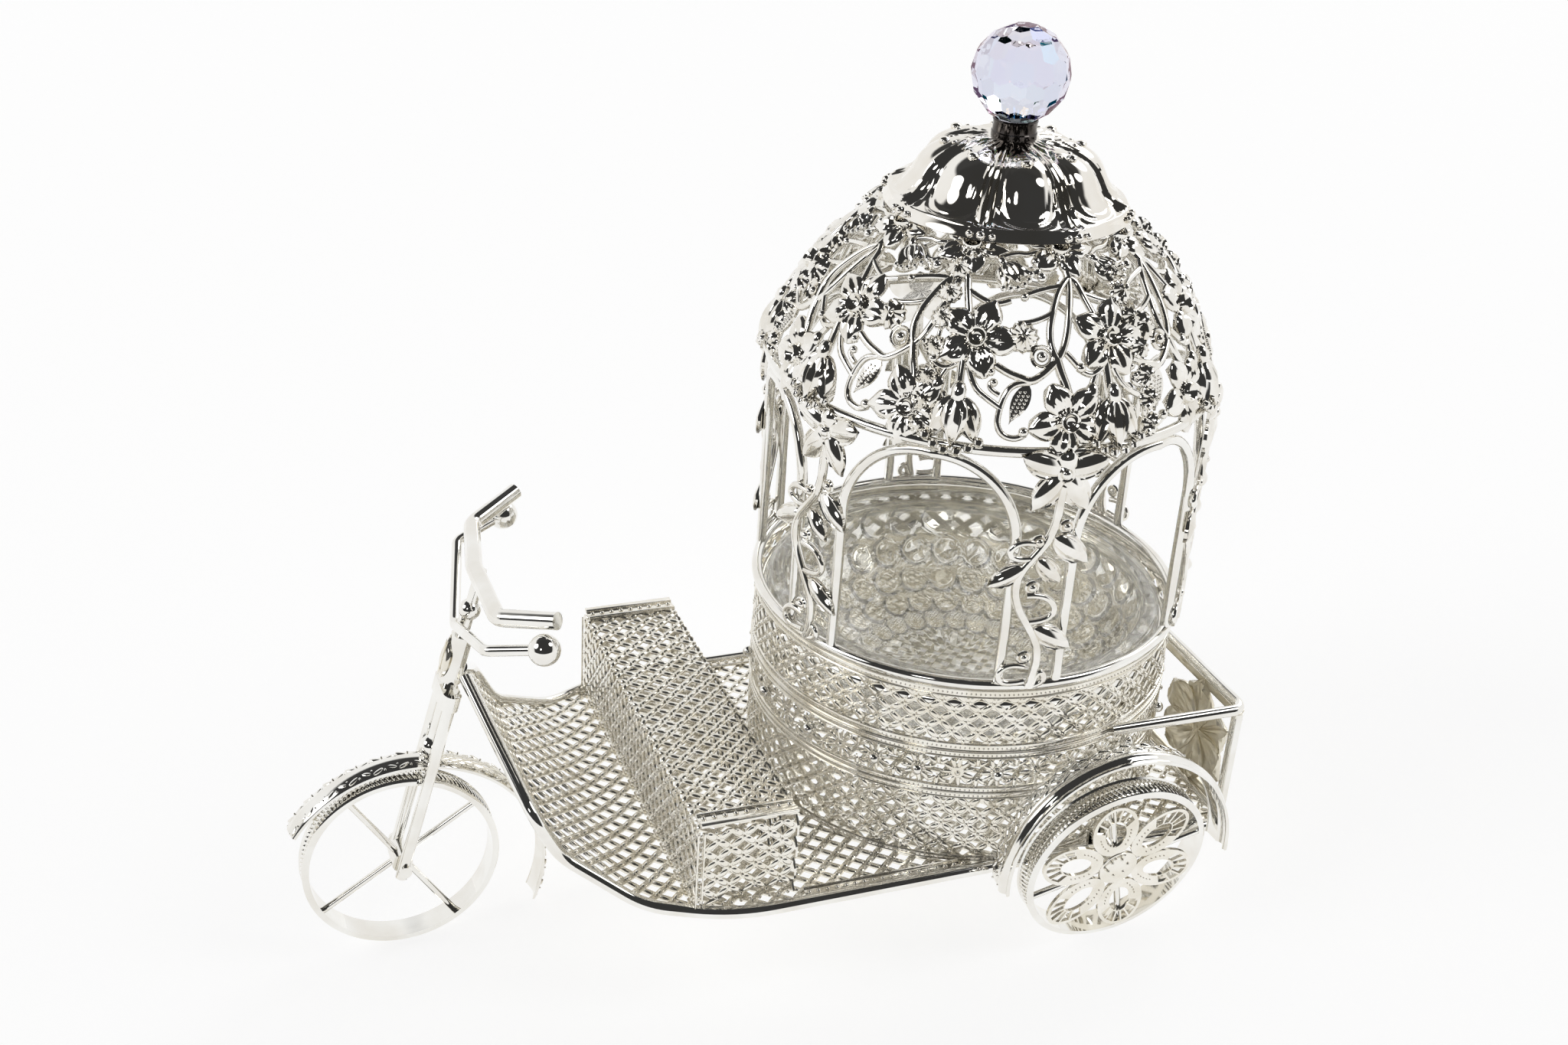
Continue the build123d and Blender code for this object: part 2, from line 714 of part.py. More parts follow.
# Rear panel: three stamped flowers between an upper and a lower strip
panel_plane = Plane(origin=deck.from_local_coords((panel_x, 0, 0)), x_dir=(0, 1, 0), z_dir=deck.x_dir)
with BuildPart() as rear_flower_panel:
    with BuildSketch(panel_plane):
        with Locations((0, 54.5)):
            Rectangle(2 * post_place[1], 6)
        with Locations((0, 3)):
            Rectangle(2 * post_place[1], 4)
        for i in (-1, 0, 1):
            with Locations((i * petal_flower_pitch, petal_flower_h)):
                Circle(petal_flower_r / 2)
                with PolarLocations(petal_flower_r * 0.6, 6, start_angle=30):
                    Circle(petal_flower_r * 0.4)
    extrude(amount=panel_t)
rear_flower_panel.part.label = "rear_flower_panel"
export_step(rear_flower_panel.part, "parts/rear_flower_panel.step")


def fender(centre_x, centre_z, radius, y_low, y_high, start, sweep_angle):
    """Domed strip bent round a wheel, from a start angle above the floor line behind the wheel."""
    away = (cos(radians(start)), 0, sin(radians(start)))
    plane = Plane(origin=(centre_x, 0, centre_z), x_dir=away, z_dir=(-away[2], 0, away[0]))
    y_mid = (y_low + y_high) / 2
    low_in = (radius - fender_t, y_low)
    high_in = (radius - fender_t, y_high)
    with BuildPart() as strip:
        with BuildSketch(plane):
            with BuildLine():
                ThreePointArc((radius, y_low), (radius + fender_crown, y_mid), (radius, y_high))
                Line((radius, y_high), high_in)
                ThreePointArc(high_in, (radius + fender_crown - fender_t, y_mid), low_in)
                Line(low_in, (radius, y_low))
            make_face()
        revolve(axis=Axis(plane.origin, (0, -1, 0)), revolution_arc=sweep_angle)
    return strip.part


# Rear fenders: half rounds whose ends are soldered to the border wires
for name, side in sides:
    y_low, y_high = sorted((side * rear_fender_y[0], side * rear_fender_y[1]))
    rear_fender = fender(rear_x + 0.5, wheel_r, rear_fender_r, y_low, y_high, *rear_fender_arc)
    rear_fender.label = f"rear_fender_{name}"
    export_step(rear_fender, f"parts/rear_fender_{name}.step")

# Rear axles: a bracket on the border wire carries a short cambered stub
for name, side in sides:
    wheel = rear_wheel(side)
    bracket_y = side * (deck_half + border_d / 2 - solder + bracket[1] / 2)
    with BuildPart() as rear_axle:
        with Locations((rear_x, bracket_y, rear_h + 1)):
            Box(*bracket)
        with BuildSketch(wheel.offset(-12.0)):
            Circle(stub_r)
        extrude(amount=12.0 + rear_hub_out - 1.0)
    rear_axle.part.label = f"rear_axle_{name}"
    export_step(rear_axle.part, f"parts/rear_axle_{name}.step")

# Rear wheels: flat rim, two crossed spoke wires, a hub and a pierced rosette in front of the spokes
for name, side in sides:
    wheel = rear_wheel(side)
    phase = rosette_angle if side < 0 else 180 - rosette_angle
    cross = rear_spoke_angle if side < 0 else -rear_spoke_angle
    with BuildPart() as rear_rim:
        with BuildSketch(wheel):
            Circle(wheel_r)
            Circle(rim_in, mode=Mode.SUBTRACT)
        extrude(amount=rim_w / 2, both=True)
    rear_rim.part.label = f"rear_rim_{name}"
    export_step(rear_rim.part, f"parts/rear_rim_{name}.step")

    with BuildPart() as rear_spokes:
        for angle in (cross, cross + 90):
            with Locations(turned(wheel.offset(rear_spoke_out), angle)):
                Cylinder(spoke_d / 2, 2 * wheel_r, rotation=(0, 90, 0))
        with Locations(wheel):
            Cylinder(rear_hub_r, 2 * rim_w, mode=Mode.SUBTRACT)
            Cylinder(rim_in + 0.2, 2 * rim_w, mode=Mode.INTERSECT)
    rear_spokes.part.label = f"rear_spokes_{name}"
    export_step(rear_spokes.part, f"parts/rear_spokes_{name}.step")

    with BuildPart() as rear_hub:
        with BuildSketch(wheel.offset(-rear_hub_in)):
            Circle(rear_hub_r)
        extrude(amount=rear_hub_in + rosette_low)
        with BuildSketch(wheel.offset(-rear_hub_in)):
            Circle(stub_r + running_gap)
        extrude(amount=rear_hub_in + rear_hub_out - 0.6, mode=Mode.SUBTRACT)
    rear_hub.part.label = f"rear_hub_{name}"
    export_step(rear_hub.part, f"parts/rear_hub_{name}.step")

    with BuildPart() as rosette:
        with BuildSketch(wheel.offset(rosette_low)):
            Circle(9.0)
            with PolarLocations(rosette_r - 15.2, 6, start_angle=phase):
                Ellipse(15.2, 11.0)
            with PolarLocations(rosette_r - 14.0, 6, start_angle=phase):
                Ellipse(6.5, 4.0, mode=Mode.SUBTRACT)
        extrude(amount=rosette_t)
    rosette.part.label = f"rosette_{name}"
    export_step(rosette.part, f"parts/rosette_{name}.step")

# Front wheel: flat rim, two crossed spoke wires and a hub
with BuildPart() as front_rim:
    with BuildSketch(front_wheel):
        Circle(wheel_r)
        Circle(rim_in, mode=Mode.SUBTRACT)
    extrude(amount=rim_w / 2, both=True)
front_rim.part.label = "front_rim"
export_step(front_rim.part, "parts/front_rim.step")

with BuildPart() as front_spokes:
    for angle in (front_spoke_angle, front_spoke_angle + 90):
        with Locations(turned(front_wheel, angle)):
            Cylinder(spoke_d / 2, 2 * wheel_r, rotation=(0, 90, 0))
    with Locations(front_wheel):
        Cylinder(front_hub_r, 2 * rim_w, mode=Mode.SUBTRACT)
        Cylinder(rim_in + 0.2, 2 * rim_w, mode=Mode.INTERSECT)
front_spokes.part.label = "front_spokes"
export_step(front_spokes.part, "parts/front_spokes.step")

with BuildPart() as front_hub:
    with BuildSketch(front_wheel):
        Circle(front_hub_r)
        Circle(front_axle_r + running_gap, mode=Mode.SUBTRACT)
    extrude(amount=front_hub_half, both=True)
front_hub.part.label = "front_hub"
export_step(front_hub.part, "parts/front_hub.step")

# Head: a sleeve that the stem turns in, with a cast leaf on its front
with BuildPart() as head_sleeve:
    with BuildSketch(steer.offset(sleeve_low)):
        Circle(sleeve_r)
        Circle(stem_r + running_gap, mode=Mode.SUBTRACT)
    extrude(amount=sleeve_top - sleeve_low)
head_sleeve.part.label = "head_sleeve"
export_step(head_sleeve.part, "parts/head_sleeve.step")

leaf_h = sleeve_top - sleeve_low - 1
leaf_plane = Plane(
    origin=steer.from_local_coords((-sleeve_r + 0.4, 0, (sleeve_low + sleeve_top) / 2)),
    x_dir=(0, -1, 0),
    z_dir=-steer.x_dir,
)
with BuildPart() as head_leaf:
    with BuildSketch(leaf_plane):
        Ellipse(4.6, leaf_h / 2)
    extrude(amount=2.0)
head_leaf.part.label = "head_leaf"
export_step(head_leaf.part, "parts/head_leaf.step")

# Steering stem with its ball, fork crown, two legs and the front axle
with BuildPart() as steerer_stem:
    with BuildSketch(steer.offset(stem_low)):
        Circle(stem_r)
    extrude(amount=stem_top - stem_low)
steerer_stem.part.label = "steerer_stem"
export_step(steerer_stem.part, "parts/steerer_stem.step")

with BuildPart() as head_ball:
    with Locations(steer.offset(head_ball_h)):
        Sphere(head_ball_r)
        Cylinder(stem_r, 4 * head_ball_r, mode=Mode.SUBTRACT)
head_ball.part.label = "head_ball"
export_step(head_ball.part, "parts/head_ball.step")

with BuildPart() as fork_crown:
    with BuildSketch(steer.offset(crown_low)):
        RectangleRounded(crown_depth, 2 * crown_half, crown_depth / 2 - 0.1)
        Circle(stem_r, mode=Mode.SUBTRACT)
    extrude(amount=crown_h)
fork_crown.part.label = "fork_crown"
export_step(fork_crown.part, "parts/fork_crown.step")

for name, side in sides:
    with BuildPart() as fork_leg:
        with BuildSketch(steer.offset(leg_low)):
            with Locations((0, side * leg_y)):
                Circle(leg_r)
        extrude(amount=crown_low - leg_low)
        with Locations(front_wheel):
            Cylinder(front_axle_r, 6 * leg_y, mode=Mode.SUBTRACT)
    fork_leg.part.label = f"fork_leg_{name}"
    export_step(fork_leg.part, f"parts/fork_leg_{name}.step")

axle_head = leg_y + leg_r
with BuildPart() as front_axle:
    with Locations(front_wheel):
        Cylinder(front_axle_r, 2 * axle_head)
    for side in (-1, 1):
        with BuildSketch(front_wheel.offset(side * axle_head)):
            Circle(2.8)
        extrude(amount=side * 1.6)
front_axle.part.label = "front_axle"
export_step(front_axle.part, "parts/front_axle.step")

# Handlebar and lever: bent wires soldered to the stem, a little askew
bar_plane = turned(steer, bar_turn)
with BuildPart() as handlebar:
    with BuildLine(bar_plane) as bar_run:
        FilletPolyline(*mirrored_run(bar_end, bar_bend, bar_centre), radius=[8.0, 30.0, 8.0])
    with BuildSketch(Plane(origin=bar_run.line @ 0, z_dir=bar_run.line % 0)):
        Circle(bar_d / 2)
    sweep()
handlebar.part.label = "handlebar"
export_step(handlebar.part, "parts/handlebar.step")

with BuildPart() as lever_bar:
    with BuildLine(bar_plane) as lever_run:
        FilletPolyline(*mirrored_run(lever_end, lever_bend, lever_centre), radius=[5.0, 8.0, 5.0])
    with BuildSketch(Plane(origin=lever_run.line @ 0, z_dir=lever_run.line % 0)):
        Circle(lever_d / 2)
    sweep()
lever_bar.part.label = "lever_bar"
export_step(lever_bar.part, "parts/lever_bar.step")

with BuildPart() as lever_balls:
    for side in (-1, 1):
        with Locations(bar_plane.from_local_coords((lever_end[0], side * lever_end[1], lever_end[2]))):
            Sphere(lever_ball_r)
lever_balls.part.label = "lever_balls"
export_step(lever_balls.part, "parts/lever_balls.step")

# Front fender on a spacer ball at the foot of the stem
with BuildPart() as fender_ball:
    with Locations(steer.offset(fender_ball_h)):
        Sphere(fender_ball_r)
fender_ball.part.label = "fender_ball"
export_step(fender_ball.part, "parts/fender_ball.step")

front_fender = fender(
    front_x + front_fender_offset[0],
    wheel_r + front_fender_offset[1],
    front_fender_r,
    -front_fender_half,
    front_fender_half,
    *front_fender_arc,
)
front_fender.label = "front_fender"
export_step(front_fender, "parts/front_fender.step")
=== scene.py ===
from bisect import bisect
from math import atan2, cos, exp, hypot, pi, radians, sin, sqrt, tan

import bmesh
import bpy
from mathutils import Matrix, Vector


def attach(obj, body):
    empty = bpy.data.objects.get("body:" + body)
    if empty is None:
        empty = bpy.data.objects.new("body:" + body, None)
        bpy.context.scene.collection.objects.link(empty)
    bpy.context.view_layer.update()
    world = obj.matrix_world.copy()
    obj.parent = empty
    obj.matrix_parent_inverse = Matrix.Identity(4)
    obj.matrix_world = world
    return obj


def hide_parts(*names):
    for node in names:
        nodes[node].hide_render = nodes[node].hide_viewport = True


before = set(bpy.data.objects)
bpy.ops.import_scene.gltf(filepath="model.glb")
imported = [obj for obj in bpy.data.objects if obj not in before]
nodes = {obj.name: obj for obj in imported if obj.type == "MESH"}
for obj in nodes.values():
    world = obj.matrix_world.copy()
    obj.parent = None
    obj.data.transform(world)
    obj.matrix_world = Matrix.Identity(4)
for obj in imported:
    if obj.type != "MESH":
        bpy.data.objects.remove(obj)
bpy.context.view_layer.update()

# Platform
# The floor of the cart: a cast lattice sheet with a leaf on every bar and a bead at every crossing.
# It is silver plated and soldered into the border wire. The body leans back a little on its wheels.
millimetres = Matrix.Scale(0.001, 4)
drum_x, deck_z, lean = 98.94, 41.1, radians(3.5)
deck = millimetres @ Matrix.Translation((drum_x, 0, deck_z)) @ Matrix.Rotation(lean, 4, "Y")
platform_front, platform_rear, platform_half = -155.0, 95.1, 94.0
platform_corner = (-139.0, 86.8)
pitch_long, pitch_wide = 11.2, 9.8
bar_half = 1.55
sheet_t = 0.9
leaf_rise = 0.55


def linear(colour):
    """Linear colour of an sRGB hex value."""
    parts = [int(colour[i : i + 2], 16) / 255 for i in (1, 3, 5)]
    return [p / 12.92 if p <= 0.04045 else ((p + 0.055) / 1.055) ** 2.4 for p in parts] + [1.0]


def add_node(tree, kind, settings={}, inputs={}):
    """Adds a node with its settings, and sets or links its inputs."""
    node = tree.nodes.new(kind)
    for name, value in settings.items():
        setattr(node, name, value)
    for name, value in inputs.items():
        if isinstance(value, bpy.types.NodeSocket):
            tree.links.new(value, node.inputs[name])
        else:
            node.inputs[name].default_value = value
    return node


def new_material(name, values):
    """A material with constant values on its shader, with its node tree and that shader."""
    material = bpy.data.materials.new(name)
    material.use_nodes = True
    shader = material.node_tree.nodes["Principled BSDF"]
    for socket, value in values.items():
        shader.inputs[socket].default_value = value
    return material, material.node_tree, shader


def uneven(tree, shader, wave_mm, depth_mm, detail=1.0):
    """Shallow waves in a surface, by their length and depth."""
    coords = add_node(tree, "ShaderNodeTexCoord")
    wave = add_node(
        tree,
        "ShaderNodeTexNoise",
        {},
        {"Vector": coords.outputs["Object"], "Scale": 1000 / wave_mm, "Detail": detail},
    )
    relief = add_node(
        tree, "ShaderNodeBump", {}, {"Height": wave.outputs["Fac"], "Strength": 1.0, "Distance": depth_mm / 1000}
    )
    tree.links.new(relief.outputs["Normal"], shader.inputs["Normal"])


def silver_plate(name, bright, worn, rough, haze_mm, wave_mm, wave_depth_mm=0.03, metallic=1.0):
    """Silver plate: a warm white mirror, hazy in patches, on a base that is not quite flat."""
    material, tree, shader = new_material(name, {"Metallic": metallic})
    coords = add_node(tree, "ShaderNodeTexCoord")
    haze = add_node(
        tree, "ShaderNodeTexNoise", {}, {"Vector": coords.outputs["Object"], "Scale": 1000 / haze_mm, "Detail": 3.0}
    )
    tone = add_node(tree, "ShaderNodeValToRGB", {}, {"Fac": haze.outputs["Fac"]})
    tone.color_ramp.elements[0].position = 0.35
    tone.color_ramp.elements[0].color = linear(worn)
    tone.color_ramp.elements[1].position = 0.62
    tone.color_ramp.elements[1].color = linear(bright)
    gloss = add_node(
        tree,
        "ShaderNodeMapRange",
        {},
        {"Value": haze.outputs["Fac"], "From Min": 0.3, "From Max": 0.7, "To Min": rough[1], "To Max": rough[0]},
    )
    uneven(tree, shader, wave_mm, wave_depth_mm)
    tree.links.new(tone.outputs["Color"], shader.inputs["Base Color"])
    tree.links.new(gloss.outputs["Result"], shader.inputs["Roughness"])
    return material


# Cast lattice comes out of its mould a little soft, so its plate is less of a mirror than on wire.
silver_lattice = silver_plate("silver plated lattice casting", "#F6F3EB", "#EBE6D9", (0.05, 0.12), 14, 4, metallic=0.9)


def small_mesh(bm):
    """Turns a finished bmesh into a mesh that can be stamped."""
    mesh = bpy.data.meshes.new("stamp")
    bm.to_mesh(mesh)
    bm.free()
    return mesh


def stamp(bm, mesh, place):
    """Adds a copy of a small mesh at a place."""
    mesh.transform(place)
    bm.from_mesh(mesh)
    mesh.transform(place.inverted())


def ball(radius, around=8, rings=5, squash=(1, 1, 1)):
    """A small ball or leaf-shaped lens, with its poles along its length."""
    bm = bmesh.new()
    turn = Matrix.Diagonal((*squash, 1)) @ Matrix.Rotation(pi / 2, 4, "Y")
    bmesh.ops.create_uvsphere(bm, u_segments=around, v_segments=rings, radius=radius, matrix=turn)
    return small_mesh(bm)


def open_diamond(long, wide, bar):
    """One opening of the lattice with half of each bar round it."""
    bm = bmesh.new()
    bmesh.ops.create_circle(bm, cap_ends=True, segments=8, radius=1)
    for v in bm.verts:
        v.co /= abs(v.co.x) + abs(v.co.y)
        v.co.x *= long / 2
        v.co.y *= wide / 2
    bmesh.ops.inset_individual(bm, faces=bm.faces[:], thickness=bar)
    opening = max(bm.faces, key=lambda f: len(f.verts))
    for v in opening.verts:
        if min(abs(v.co.x), abs(v.co.y)) < 0.1:
            v.co *= 0.86
    bmesh.ops.delete(bm, geom=[opening], context="FACES_ONLY")
    return small_mesh(bm)


knot_r, leaf_half = 0.8, 1.6
knot = ball(knot_r, 6, 4)
bar_leaf = ball(1.0, 6, 5, squash=(2.6, 1.3, 0.6))


def lattice(low, high, edges=(), long=pitch_long, wide=pitch_wide):
    """Flat lattice between two corners, cut along edges that are (point, outward) pairs."""
    bm = bmesh.new()
    diamond = open_diamond(long, wide, bar_half)
    columns = range(int(low[0] // long) - 1, int(high[0] // long) + 2)
    rows = range(int(low[1] // wide) - 1, int(high[1] // wide) + 2)
    places = [Vector((i * long, j * wide, 0)) for i in columns for j in rows]
    places += [p + Vector((long / 2, wide / 2, 0)) for p in places]
    sides = [(low, (-1, 0)), (low, (0, -1)), (high, (1, 0)), (high, (0, 1))] + list(edges)
    sides = [(Vector((*point, 0)), Vector((*outward, 0)).normalized()) for point, outward in sides]

    def inside(place, margin):
        return all((place - point).dot(outward) < -margin for point, outward in sides)

    for place in places:
        if inside(place, -long):
            stamp(bm, diamond, Matrix.Translation(place))
    bmesh.ops.remove_doubles(bm, verts=bm.verts[:], dist=0.05)
    for point, outward in sides:
        bmesh.ops.bisect_plane(
            bm, geom=bm.verts[:] + bm.edges[:] + bm.faces[:], plane_co=point, plane_no=outward, clear_outer=True
        )
    bmesh.ops.solidify(bm, geom=bm.faces[:], thickness=sheet_t)
    tilt = Vector((long, wide)).angle_signed(Vector((1, 0)))
    for place in places:
        crossing = place + Vector((long / 2, 0, 0))
        if inside(crossing, knot_r):
            stamp(bm, knot, Matrix.Translation(crossing + Vector((0, 0, 0.2))))
        for way in (-1, 1):
            middle = place + Vector((long / 4, way * wide / 4, 0))
            if inside(middle, leaf_half):
                stamp(bm, bar_leaf, Matrix.Translation(middle) @ Matrix.Rotation(-way * tilt, 4, "Z"))
    return bm


def make_piece(bm, name, place, material, body, replaced, sharp=50):
    """Finishes a mesh as a piece in its place on a body."""
    mesh = bpy.data.meshes.new(name)
    bm.to_mesh(mesh)
    bm.free()
    mesh.transform(place)
    mesh.shade_smooth()
    mesh.set_sharp_from_angle(angle=radians(sharp))
    mesh.materials.append(material)
    piece = bpy.data.objects.new(name, mesh)
    bpy.context.scene.collection.objects.link(piece)
    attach(piece, body)
    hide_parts(*replaced)


slant = platform_half - platform_corner[1]
run = platform_corner[0] - platform_front
corner_cuts = [((platform_corner[0], side * platform_half), (-slant, side * run)) for side in (-1, 1)]
floor_sheet = lattice((platform_front, -platform_half), (platform_rear, platform_half), corner_cuts)
make_piece(
    floor_sheet, "platform_lattice", deck @ Matrix.Translation((0, 0, -leaf_rise)), silver_lattice, "chassis",
    ["platform_sheet"],
)

# Border wires, rail and posts
# Polished wire bent by hand and soldered end to end: the border round the floor, which climbs to the
# head, the rail round the back of the drum and the two posts that carry it.

# Drawn wire is buffed before it is plated, so it shows sharp white and black streaks along its length.
silver_wire = silver_plate("silver plated polished wire", "#F4F3EF", "#EBE8E1", (0.03, 0.07), 22, 9)


def dress(material, *names):
    """Gives solids that stay as they are a finish."""
    for name in names:
        for place in nodes[name].material_slots:
            place.material = material


dress(silver_wire, "border_wire_left", "border_wire_right", "rear_rail", "rail_posts", "bowl_ledge")

# Platform edge strips
# A rolled strip along each long edge of the floor, before and behind the drum: two fine ridges with a
# row of beads between them, soldered on the sheet beside the border wire.
edge_y = 91.2
edge_runs = ((-106.5, -31.0), (31.0, 91.6))
edge_bars = ((87.8, 94.0, 0.5), (87.9, 88.7, 1.1), (93.0, 94.0, 1.3))
edge_bead, edge_bead_pitch = ball(1.15), 4.3


def bar(bm, low, high, bevel=0.3):
    """A straight bar between two corners with its edges broken."""
    size = Vector(high) - Vector(low)
    place = Matrix.Translation(Vector(low) + size / 2) @ Matrix.Diagonal((*size, 1))
    made = bmesh.ops.create_cube(bm, size=1, matrix=place)
    edges = list({e for v in made["verts"] for e in v.link_edges})
    bmesh.ops.bevel(bm, geom=edges, offset=bevel, affect="EDGES", segments=2, profile=0.5, material=-1)


def bead_row(bm, bead, start, end, pitch):
    """A row of beads from one point to another."""
    start, end = Vector(start), Vector(end)
    count = max(1, round((end - start).length / pitch))
    for i in range(count + 1):
        stamp(bm, bead, Matrix.Translation(start.lerp(end, i / count)))


edge_strips = bmesh.new()
for side in (-1, 1):
    for low, high in edge_runs:
        for inner, outer, top in edge_bars:
            y_low, y_high = sorted((side * inner, side * outer))
            bar(edge_strips, (low, y_low, -0.2), (high, y_high, top))
        row = [(x, side * edge_y, 0.5) for x in (low + 2, high - 2)]
        bead_row(edge_strips, edge_bead, *row, edge_bead_pitch)
make_piece(edge_strips, "edge_strips", deck, silver_lattice, "chassis", ["platform_edge_strips"])

# Scoop
# The foot board: the same lattice sheet swept up from the seat to the steering head, narrowing between
# the border wires that it is soldered to.
scoop_line = [(-155.0, -0.6), (-173.0, -0.6), (-204.5, 18.5), (-215.0, 38.5), (-231.0, 75.5)]
scoop_bends = [40.0, 20.0, 30.0]
scoop_half = [(-155.0, 86.8), (-204.5, 60.3), (-215.0, 58.5), (-230.0, 5.0)]
scoop_widest = 88.0
scoop_sink = 0.3


def bent_line(corners, bends, step=1.5):
    """Points along a line whose corners are rounded, each with the length that leads to it."""
    corners = [Vector(c) for c in corners]
    points = [corners[0]]
    for before, corner, after, bend in zip(corners, corners[1:], corners[2:], bends):
        back, ahead = (before - corner).normalized(), (after - corner).normalized()
        half = back.angle(ahead) / 2
        reach = bend / tan(half)
        middle = corner + (back + ahead).normalized() * (bend / sin(half))
        count = max(2, int(bend * (pi - 2 * half) / step))
        from_middle = corner + back * reach - middle
        sweep = (corner + back * reach - middle).angle_signed(corner + ahead * reach - middle)
        for i in range(count + 1):
            points.append(middle + Matrix.Rotation(-sweep * i / count, 2) @ from_middle)
    points.append(corners[-1])
    lengths = [0.0]
    for a, b in zip(points, points[1:]):
        lengths.append(lengths[-1] + (b - a).length)
    return points, lengths


def on_line(line, length):
    """Point and direction at a length along a line."""
    points, lengths = line
    i = max(0, min(len(points) - 2, sum(1 for x in lengths if x < length) - 1))
    way = (points[i + 1] - points[i]).normalized()
    return points[i] + way * (length - lengths[i]), way


def bend_sheet(bm, line, up):
    """Bends a flat sheet along a line in the side view."""
    for v in bm.verts:
        point, way = on_line(line, v.co.x)
        point = point + Vector((-way.y, way.x)) * v.co.z * up
        v.co = Vector((point.x, v.co.y, point.y))
    if up < 0:
        bmesh.ops.reverse_faces(bm, faces=bm.faces[:])


def length_at(line, x):
    """Length along a line where it passes an x."""
    points, lengths = line
    for a, b, start in zip(points, points[1:], lengths):
        if a.x >= x >= b.x and a.x > b.x:
            return start + (a.x - x) / (a.x - b.x) * (b - a).length
    return lengths[-1]


scoop_side = bent_line(scoop_line, scoop_bends)
outline = [(length_at(scoop_side, x), half) for x, half in scoop_half]
scoop_sheet = bmesh.new()
for first, last in ((0, 1), (1, 3)):
    cuts = []
    for (u0, y0), (u1, y1) in zip(outline[first:last], outline[first + 1 : last + 1]):
        cuts += [((u0, side * y0), (y0 - y1, side * (u1 - u0))) for side in (-1, 1)]
    part = lattice((outline[first][0], -scoop_widest), (outline[last][0], scoop_widest), cuts)
    scoop_sheet.from_mesh(small_mesh(part))
bmesh.ops.remove_doubles(scoop_sheet, verts=scoop_sheet.verts[:], dist=0.02)
bmesh.ops.translate(scoop_sheet, vec=(0, 0, -scoop_sink), verts=scoop_sheet.verts[:])
bend_sheet(scoop_sheet, scoop_side, -1)
make_piece(scoop_sheet, "scoop_lattice", deck, silver_lattice, "chassis", ["scoop_sheet"])

# Seat
# A box bent from one lattice sheet over front, top and back, with a framed lattice panel soldered in at
# each end and a beaded strip along both short edges of the top.
seat_front, seat_back, seat_half, seat_h = -155.0, -109.5, 90.0, 42.2
seat_round = 2.5
seat_strip_bars = ((80.5, 89.9, 0.7), (80.8, 82.2, 1.5), (86.6, 89.9, 1.7))
seat_bead_y, seat_bead_lift = 84.3, 0.8
seat_bead, frame_bead, fold_bead = ball(1.2), ball(0.8), ball(0.7)

seat_side = bent_line(
    [(seat_front, 0.4), (seat_front, seat_h), (seat_back, seat_h), (seat_back, 0.4)], [seat_round, seat_round], 0.8
)
seat_cover = lattice((0, -seat_half + 1.5), (seat_side[1][-1], seat_half - 1.5))
bmesh.ops.translate(seat_cover, vec=(0, 0, -leaf_rise), verts=seat_cover.verts[:])
bend_sheet(seat_cover, seat_side, 1)
make_piece(seat_cover, "seat_lattice", deck, silver_lattice, "chassis", ["seat_cover"])


def frame_ring(bm, low, high, width, back, front):
    """A flat frame round a panel, in one piece."""
    ring = bmesh.new()
    corners = [low, (high[0], low[1]), high, (low[0], high[1])]
    panel = ring.faces.new([ring.verts.new((x, y, front)) for x, y in corners])
    bmesh.ops.inset_individual(ring, faces=[panel], thickness=width)
    bmesh.ops.delete(ring, geom=[panel], context="FACES_ONLY")
    bmesh.ops.solidify(ring, geom=ring.faces[:], thickness=front - back)
    bm.from_mesh(small_mesh(ring))


def facing(across, up, out, at):
    """Place whose x, y and z run across, up and out."""
    return Matrix.Translation(at) @ Matrix((across, up, out)).transposed().to_4x4()


for name, side in (("left", -1), ("right", 1)):
    low, high = sorted((-side * seat_front, -side * seat_back))
    seat_end = lattice((low + 2.5, 2.5), (high - 2.5, seat_h - 3))
    frame_ring(seat_end, (low, 0.4), (high, seat_h), 3.6, -0.9, 0.7)
    fold = low if side < 0 else high
    for shift in (0.5, 3.2):
        bar(seat_end, (fold - side * shift - 0.4, 0.6, 0), (fold - side * shift + 0.4, seat_h - 3, 0.7), 0.2)
    bead_row(seat_end, fold_bead, (fold - side * 1.85, 2, 0.3), (fold - side * 1.85, seat_h - 4, 0.3), 2.6)
    for y in (seat_h - 3.4, 1.4):
        bead_row(seat_end, frame_bead, (low + 4, y, 0.2), (high - 4, y, 0.2), 4.2)
    end_place = deck @ facing((-side, 0, 0), (0, 0, 1), (0, side, 0), (0, side * (seat_half - 1.0), 0))
    make_piece(
        seat_end, f"seat_end_panel_{name}", end_place, silver_lattice, "chassis",
        [f"seat_end_{name}"],
    )

seat_strips = bmesh.new()
for side in (-1, 1):
    for inner, outer, top in seat_strip_bars:
        y_low, y_high = sorted((side * inner, side * outer))
        bar(seat_strips, (seat_front + 1.5, y_low, seat_h + 0.1), (seat_back - 1.5, y_high, seat_h + top), 0.35)
    row = [(x, side * seat_bead_y, seat_h + seat_bead_lift) for x in (seat_front + 4, seat_back - 4)]
    bead_row(seat_strips, seat_bead, *row, 4.6)
make_piece(seat_strips, "seat_strips", deck, silver_lattice, "chassis", ["seat_edge_strips"])

# Drum
# The wall that holds the bowl: a lattice band below, a band of daisies with ball beads, and a lattice
# band above, each a strip bent round and soldered at one seam, with dotted strips along the edges.
drum_r = 95.0
drum_cells = 54
drum_long = 2 * pi * drum_r / drum_cells
drum_wide = 9.5
dot, strip_dots = ball(0.45, 6, 4), 300
hoop_steps = 180


def round_drum(bm, radius):
    """Bends a flat strip round the drum's axis."""
    for v in bm.verts:
        angle = v.co.x / drum_r
        reach = radius + v.co.z
        v.co = Vector((reach * cos(angle), reach * sin(angle), v.co.y))


